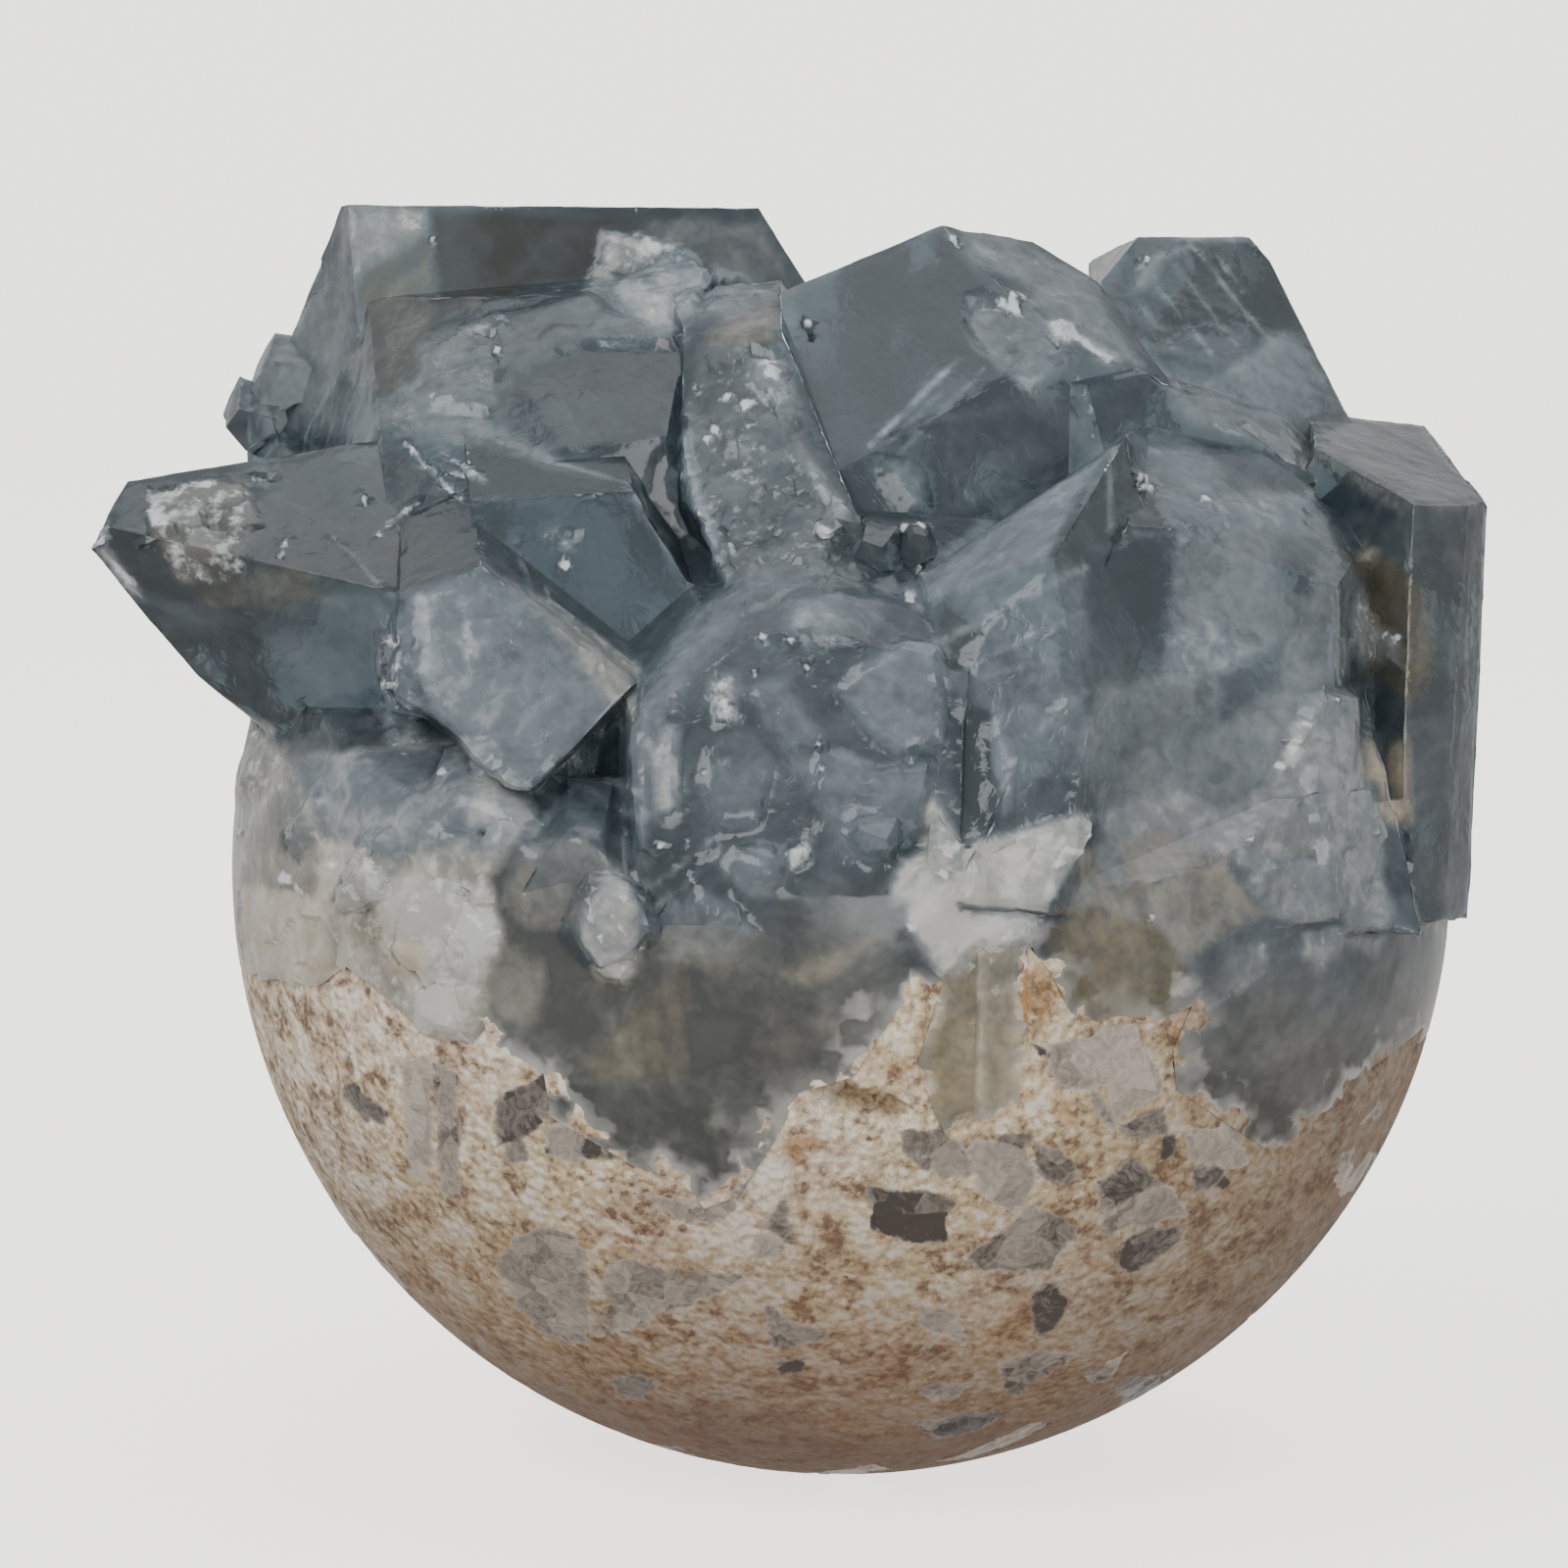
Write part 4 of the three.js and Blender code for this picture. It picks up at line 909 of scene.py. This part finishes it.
class Graph:
    """A short way to write a material's nodes."""

    def __init__(self, name):
        self.material = bpy.data.materials.new(name)
        self.material.use_nodes = True
        self.nodes = self.material.node_tree.nodes
        self.links = self.material.node_tree.links
        self.nodes.clear()
        place = self.nodes.new("ShaderNodeTexCoord")
        scaled = self.nodes.new("ShaderNodeMapping")
        scaled.inputs["Scale"].default_value = (METRE, METRE, METRE)
        self.links.new(place.outputs["Object"], scaled.inputs["Vector"])
        self.place = scaled.outputs["Vector"]

    def add(self, kind, output, inputs, **settings):
        """A node of a kind, with its settings and inputs given. Returns one of its outputs."""
        node = self.nodes.new(kind)
        for key, value in settings.items():
            setattr(node, key, value)
        for key, value in inputs.items():
            socket = node.inputs[key]
            if isinstance(value, bpy.types.NodeSocket):
                self.links.new(value, socket)
            else:
                socket.default_value = value
        return node.outputs[output]

    def mask(self, key):
        return self.add("ShaderNodeAttribute", "Fac", {}, attribute_name=key)

    def maths(self, operation, a, b=0.0, c=0.0):
        return self.add("ShaderNodeMath", 0, {0: a, 1: b, 2: c}, operation=operation)

    def noise(self, scale, detail=3.0, distortion=0.0, roughness=0.5):
        inputs = {"Vector": self.place, "Scale": scale, "Detail": detail, "Distortion": distortion}
        inputs["Roughness"] = roughness
        return self.add("ShaderNodeTexNoise", "Fac", inputs)

    def cells(self, scale, part):
        """A random number for each cell: one part of its colour."""
        tone = self.add("ShaderNodeTexVoronoi", "Color", {"Vector": self.place, "Scale": scale})
        return self.add("ShaderNodeSeparateColor", part, {"Color": tone})

    def ramp(self, value, low, high, to_low=0.0, to_high=1.0):
        """A value between two limits mapped to others, and held there beyond them."""
        inputs = {"Value": value, "From Min": low, "From Max": high, "To Min": to_low, "To Max": to_high}
        return self.add("ShaderNodeMapRange", "Result", inputs)

    def blend(self, share, first, second):
        """A colour between two."""
        node = self.nodes.new("ShaderNodeMix")
        node.data_type = "RGBA"
        for socket, value in ((node.inputs[0], share), (node.inputs[6], first), (node.inputs[7], second)):
            if isinstance(value, bpy.types.NodeSocket):
                self.links.new(value, socket)
            else:
                socket.default_value = value
        return node.outputs[2]

    def bump(self, height, distance, strength):
        inputs = {"Height": height, "Distance": distance / METRE, "Strength": strength}
        return self.add("ShaderNodeBump", "Normal", inputs)

    def finish(self, surface, volume=None):
        output = self.nodes.new("ShaderNodeOutputMaterial")
        self.links.new(surface, output.inputs["Surface"])
        if volume is not None:
            self.links.new(volume, output.inputs["Volume"])
        return self.material


def colour(red, green, blue):
    """A colour given as it looks on a screen, from 0 to 255."""
    linear = [((c / 255 + 0.055) / 1.055) ** 2.4 if c > 10 else c / 255 / 12.92 for c in (red, green, blue)]
    return (*linear, 1.0)


def grain_colour(g, warm):
    """The rock's colour: sugary grains, white through beige to brown, with dark gaps, and painted shade that
    darkens it towards the bottom and towards the right.
    """
    level = grain_level(g)
    broad = g.noise(0.11, 1)
    base = g.blend(g.ramp(broad, 0.4, 0.6), colour(218, 197, 170), colour(222, 200, 160))
    base = g.blend(g.ramp(level, 0.1, 0.5), base, colour(246, 238, 220))
    base = g.blend(g.ramp(level, 0.0, -0.7), base, colour(128, 102, 80))
    height = g.add("ShaderNodeSeparateXYZ", "Z", {"Vector": g.place})
    right = g.add("ShaderNodeSeparateXYZ", "X", {"Vector": g.place})
    # Painted shade: darker towards the bottom.
    base = g.blend(g.ramp(height, 20, 3, 0.0, 0.9), base, colour(108, 80, 62))
    # Painted shade: darker towards the right.
    base = g.blend(g.ramp(right, 6, 22, 0.0, 0.75), base, colour(96, 74, 58))
    return g.blend(g.maths("MULTIPLY", warm, 0.8), base, colour(176, 122, 56))


def grain_level(g):
    """How high and pale the rock is: single grains, clots of them and the gaps between."""
    single = g.cells(3.3, "Red")
    clots = g.ramp(g.noise(0.5, 3, 1.0), 0.32, 0.68, -0.5, 0.55)
    level = g.maths("ADD", g.ramp(single, 0.0, 1.0, -0.3, 0.3), clots)
    return g.maths("ADD", level, g.ramp(g.noise(1.6, 4, 0.4, roughness=0.7), 0.3, 0.7, -0.55, 0.55))


def crystal_material():
    g = Graph("celestite")
    cloud, frost_and_glint, stain = g.mask("cloud"), g.mask("frost_and_glint"), g.mask("stain")
    polish, rock, ochre = g.mask("polish"), g.mask("rock"), g.mask("ochre")
    facet_painted_shade, large, broken, window = g.mask("facet_painted_shade"), g.mask("large"), g.mask("crust"), g.mask("window")
    fine = g.noise(1.2, 3, 0.8)
    veils = g.noise(0.16, 3, 2.0)
    haze = g.maths("ADD", cloud, g.ramp(veils, 0.3, 0.7, -0.14, 0.14))
    mottle = g.ramp(g.noise(1.4, 4, 0.5), 0.32, 0.68, -0.12, 0.12)
    haze = g.maths("MULTIPLY_ADD", mottle, g.ramp(cloud, -0.2, 0.45, 0.3, 1.0), haze)
    haze = g.maths("MULTIPLY_ADD", facet_painted_shade, g.maths("MULTIPLY", broken, 0.5), haze)
    haze = g.maths("MULTIPLY_ADD", large, g.ramp(polish, 0.0, 1.0, 0.1, 0.24), haze)
    haze = g.add("ShaderNodeClamp", 0, {"Value": haze, "Min": -1.0, "Max": 1.0})
    flakes = g.ramp(g.noise(1.3, 4, roughness=0.65), 0.3, 0.7, -0.4, 0.4)
    white = g.ramp(g.maths("ADD", frost_and_glint, flakes), 0.45, 0.95)
    rocky = g.maths("MULTIPLY", g.ramp(rock, 0.2, 0.1), polish)
    crust = g.maths("MULTIPLY", g.ramp(rock, 1.4, 0.4), polish)

    light = g.ramp(haze, 0.0, 0.7)
    milk = g.ramp(haze, 0.65, 1.0)
    tint = g.blend(light, colour(84, 99, 108), colour(142, 153, 161))
    # Haze below 0 turns the crystal dark: dark crystal, and painted shade where patches mark the gap, the
    # pocket, the face under the ledge and the left prism's face.
    dark_and_painted_shade = g.ramp(haze, 0.0, -0.6)
    tint = g.blend(dark_and_painted_shade, tint, colour(40, 46, 50))
    in_window = g.blend(light, colour(88, 91, 89), colour(148, 148, 141))
    tint = g.blend(window, tint, in_window)
    tint = g.blend(milk, tint, colour(202, 203, 198))
    dirt = g.maths("MULTIPLY", stain, g.ramp(fine, 0.25, 0.6, 0.5, 1.0))
    tint = g.blend(dirt, tint, g.blend(light, colour(112, 100, 70), colour(196, 176, 140)))
    # The crust's colour follows the facet tone: painted shading of the broken facets.
    sugar = g.blend(g.ramp(facet_painted_shade, -0.3, 0.3), colour(140, 138, 132), colour(204, 202, 194))
    tint = g.blend(g.maths("MULTIPLY", crust, 0.6), tint, sugar)
    # Frost, crusts and worn edges turn white, and so do the painted glints.
    tint = g.blend(white, tint, colour(218, 222, 222))
    yellow = g.ramp(g.maths("ADD", ochre, g.ramp(fine, 0.3, 0.7, -0.3, 0.3)), -0.05, 0.05)
    earth = g.maths("MAXIMUM", rocky, yellow)
    tint = g.blend(earth, tint, grain_colour(g, yellow))

    clear = g.ramp(haze, 0.0, 1.0, 0.66, 0.2)
    for share, part in ((dirt, 0.35), (crust, 0.35), (white, 0.6), (window, 0.25), (dark_and_painted_shade, 0.4)):
        clear = g.maths("SUBTRACT", clear, g.maths("MULTIPLY", share, part))
    clear = g.add("ShaderNodeClamp", 0, {"Value": g.maths("SUBTRACT", clear, earth)})

    rough = g.ramp(veils, 0.35, 0.7, 0.1, 0.24)
    rough = g.maths("MULTIPLY_ADD", white, 0.2, rough)
    normal = g.bump(g.noise(0.9, 3, 0.5), 0.16, g.ramp(polish, 0.0, 1.0, 0.4, 0.06))

    inputs = {"Base Color": tint, "Roughness": rough, "Transmission Weight": clear, "Normal": normal}
    inputs |= {"IOR": 1.62, "Specular IOR Level": 0.45}
    surface = g.add("ShaderNodeBsdfPrincipled", "BSDF", inputs)
    volume = g.add("ShaderNodeVolumeAbsorption", "Volume", {"Color": (0.42, 0.5, 0.55, 1), "Density": 40.0})
    return g.finish(surface, volume)


def rock_material():
    g = Graph("host rock")
    fragment, tone, ochre, hollow = g.mask("fragment"), g.mask("tone"), g.mask("ochre"), g.mask("hollow")
    jag = g.noise(1.6, 3)
    inner = g.maths("ADD", fragment, g.ramp(jag, 0.3, 0.7, -0.12, 0.12))
    inside = g.ramp(inner, -0.02, 0.1)
    streaks = g.noise(1.2, 2, 2.5)
    facets = g.cells(0.8, "Blue")
    shade = g.maths("ADD", tone, g.ramp(facets, 0.0, 1.0, -0.22, 0.22))
    shade = g.maths("ADD", shade, g.ramp(streaks, 0.3, 0.7, -0.2, 0.2))
    # Lighter towards each fragment's rim: a pale seam, and partly a painted highlight.
    shade = g.maths("ADD", shade, g.ramp(inner, 0.0, 0.22, 0.35, 0.0))
    glassy = g.blend(g.ramp(shade, 0.0, 1.0), colour(74, 68, 64), colour(192, 180, 166))
    rust = g.maths("MULTIPLY", ochre, g.ramp(jag, 0.35, 0.6))
    tint = g.blend(inside, grain_colour(g, rust), glassy)
    dark = g.blend(g.ramp(streaks, 0.35, 0.65), colour(66, 47, 26), colour(150, 116, 70))
    tint = g.blend(hollow, tint, dark)
    rough = g.blend(inside, (0.55, 0.55, 0.55, 1), (0.24, 0.24, 0.24, 1))
    relief = g.maths("SUBTRACT", 0.8, g.maths("MULTIPLY", inside, 0.7))
    normal = g.bump(g.noise(2.6, 0), 0.3, relief)
    inputs = {"Base Color": tint, "Roughness": rough, "IOR": 1.5, "Normal": normal}
    return g.finish(g.add("ShaderNodeBsdfPrincipled", "BSDF", inputs))


def backdrop_material():
    """Pale paper that glows a little, as if lit from behind."""
    g = Graph("backdrop")
    paper = colour(234, 233, 225)
    inputs = {"Base Color": paper, "Roughness": 0.8, "Emission Color": paper, "Emission Strength": 2.3}
    material = g.finish(g.add("ShaderNodeBsdfPrincipled", "BSDF", inputs))
    material.cycles.emission_sampling = "NONE"
    return material


# The stage, the lights and the camera


def backdrop():
    """A pale floor that curves up into a wall behind."""
    profile = [(-900, 0), (500, 0)]
    profile += [(500 + 300 * math.sin(a), 300 - 300 * math.cos(a)) for a in np.linspace(0.1, math.pi / 2, 12)]
    profile.append((800, 1500))
    mesh = bpy.data.meshes.new("backdrop")
    corners = [(side * 1.6, y / METRE, z / METRE) for y, z in profile for side in (-1, 1)]
    faces = [(2 * i, 2 * i + 1, 2 * i + 3, 2 * i + 2) for i in range(len(profile) - 1)]
    mesh.from_pydata(corners, [], faces)
    mesh.shade_smooth()
    mesh.materials.append(backdrop_material())
    sheet = bpy.data.objects.new("backdrop", mesh)
    sheet.visible_glossy = False
    sheet.visible_diffuse = False
    bpy.context.scene.collection.objects.link(sheet)


def aim(thing, place, target):
    thing.location = Vector(place) / METRE
    thing.rotation_euler = (Vector(target) - Vector(place)).to_track_quat("-Z", "Y").to_euler()


def softbox(name, place, size, power, tint=(1, 1, 1)):
    data = bpy.data.lights.new(name, "AREA")
    data.shape = "RECTANGLE"
    data.size, data.size_y = size[0] / METRE, size[1] / METRE
    data.energy = power
    data.color = tint
    lamp = bpy.data.objects.new(name, data)
    bpy.context.scene.collection.objects.link(lamp)
    aim(lamp, place, (0, 0, 30))


def studio():
    """A large light from the upper left, a weaker one above, and a sky that is darker below."""
    softbox("key", (-320, -300, 380), (360, 300), 1.1)
    softbox("top", (60, 60, 480), (420, 360), 0.4)
    softbox("front", (160, -520, 90), (360, 260), 0.9)
    world = bpy.data.worlds.new("studio")
    world.use_nodes = True
    nodes, links = world.node_tree.nodes, world.node_tree.links
    way = nodes.new("ShaderNodeTexCoord")
    parts = nodes.new("ShaderNodeSeparateXYZ")
    ramp = nodes.new("ShaderNodeValToRGB")
    links.new(way.outputs["Generated"], parts.inputs["Vector"])
    rise = nodes.new("ShaderNodeMapRange")
    rise.inputs["From Min"].default_value = -1
    links.new(parts.outputs["Z"], rise.inputs["Value"])
    links.new(rise.outputs["Result"], ramp.inputs["Fac"])
    ramp.color_ramp.elements[0].color = (0.5, 0.44, 0.4, 1)
    ramp.color_ramp.elements[1].color = (0.62, 0.65, 0.68, 1)
    middle = ramp.color_ramp.elements.new(0.5)
    middle.color = (0.72, 0.72, 0.71, 1)
    links.new(ramp.outputs["Color"], nodes["Background"].inputs["Color"])
    nodes["Background"].inputs["Strength"].default_value = 1.0
    bpy.context.scene.world = world


def camera():
    data = bpy.data.cameras.new("camera")
    data.lens = LENS
    data.sensor_width = SENSOR
    data.clip_start = 0.01
    data.clip_end = 10
    viewer = bpy.data.objects.new("camera", data)
    bpy.context.scene.collection.objects.link(viewer)
    aim(viewer, camera_axes()[0], TARGET)
    bpy.context.scene.camera = viewer


tree = cad_tree("crystals", "host_rock")
crystal_piece(crystal_material(), tree)
rock_piece(rock_material(), tree)
backdrop()
studio()
camera()
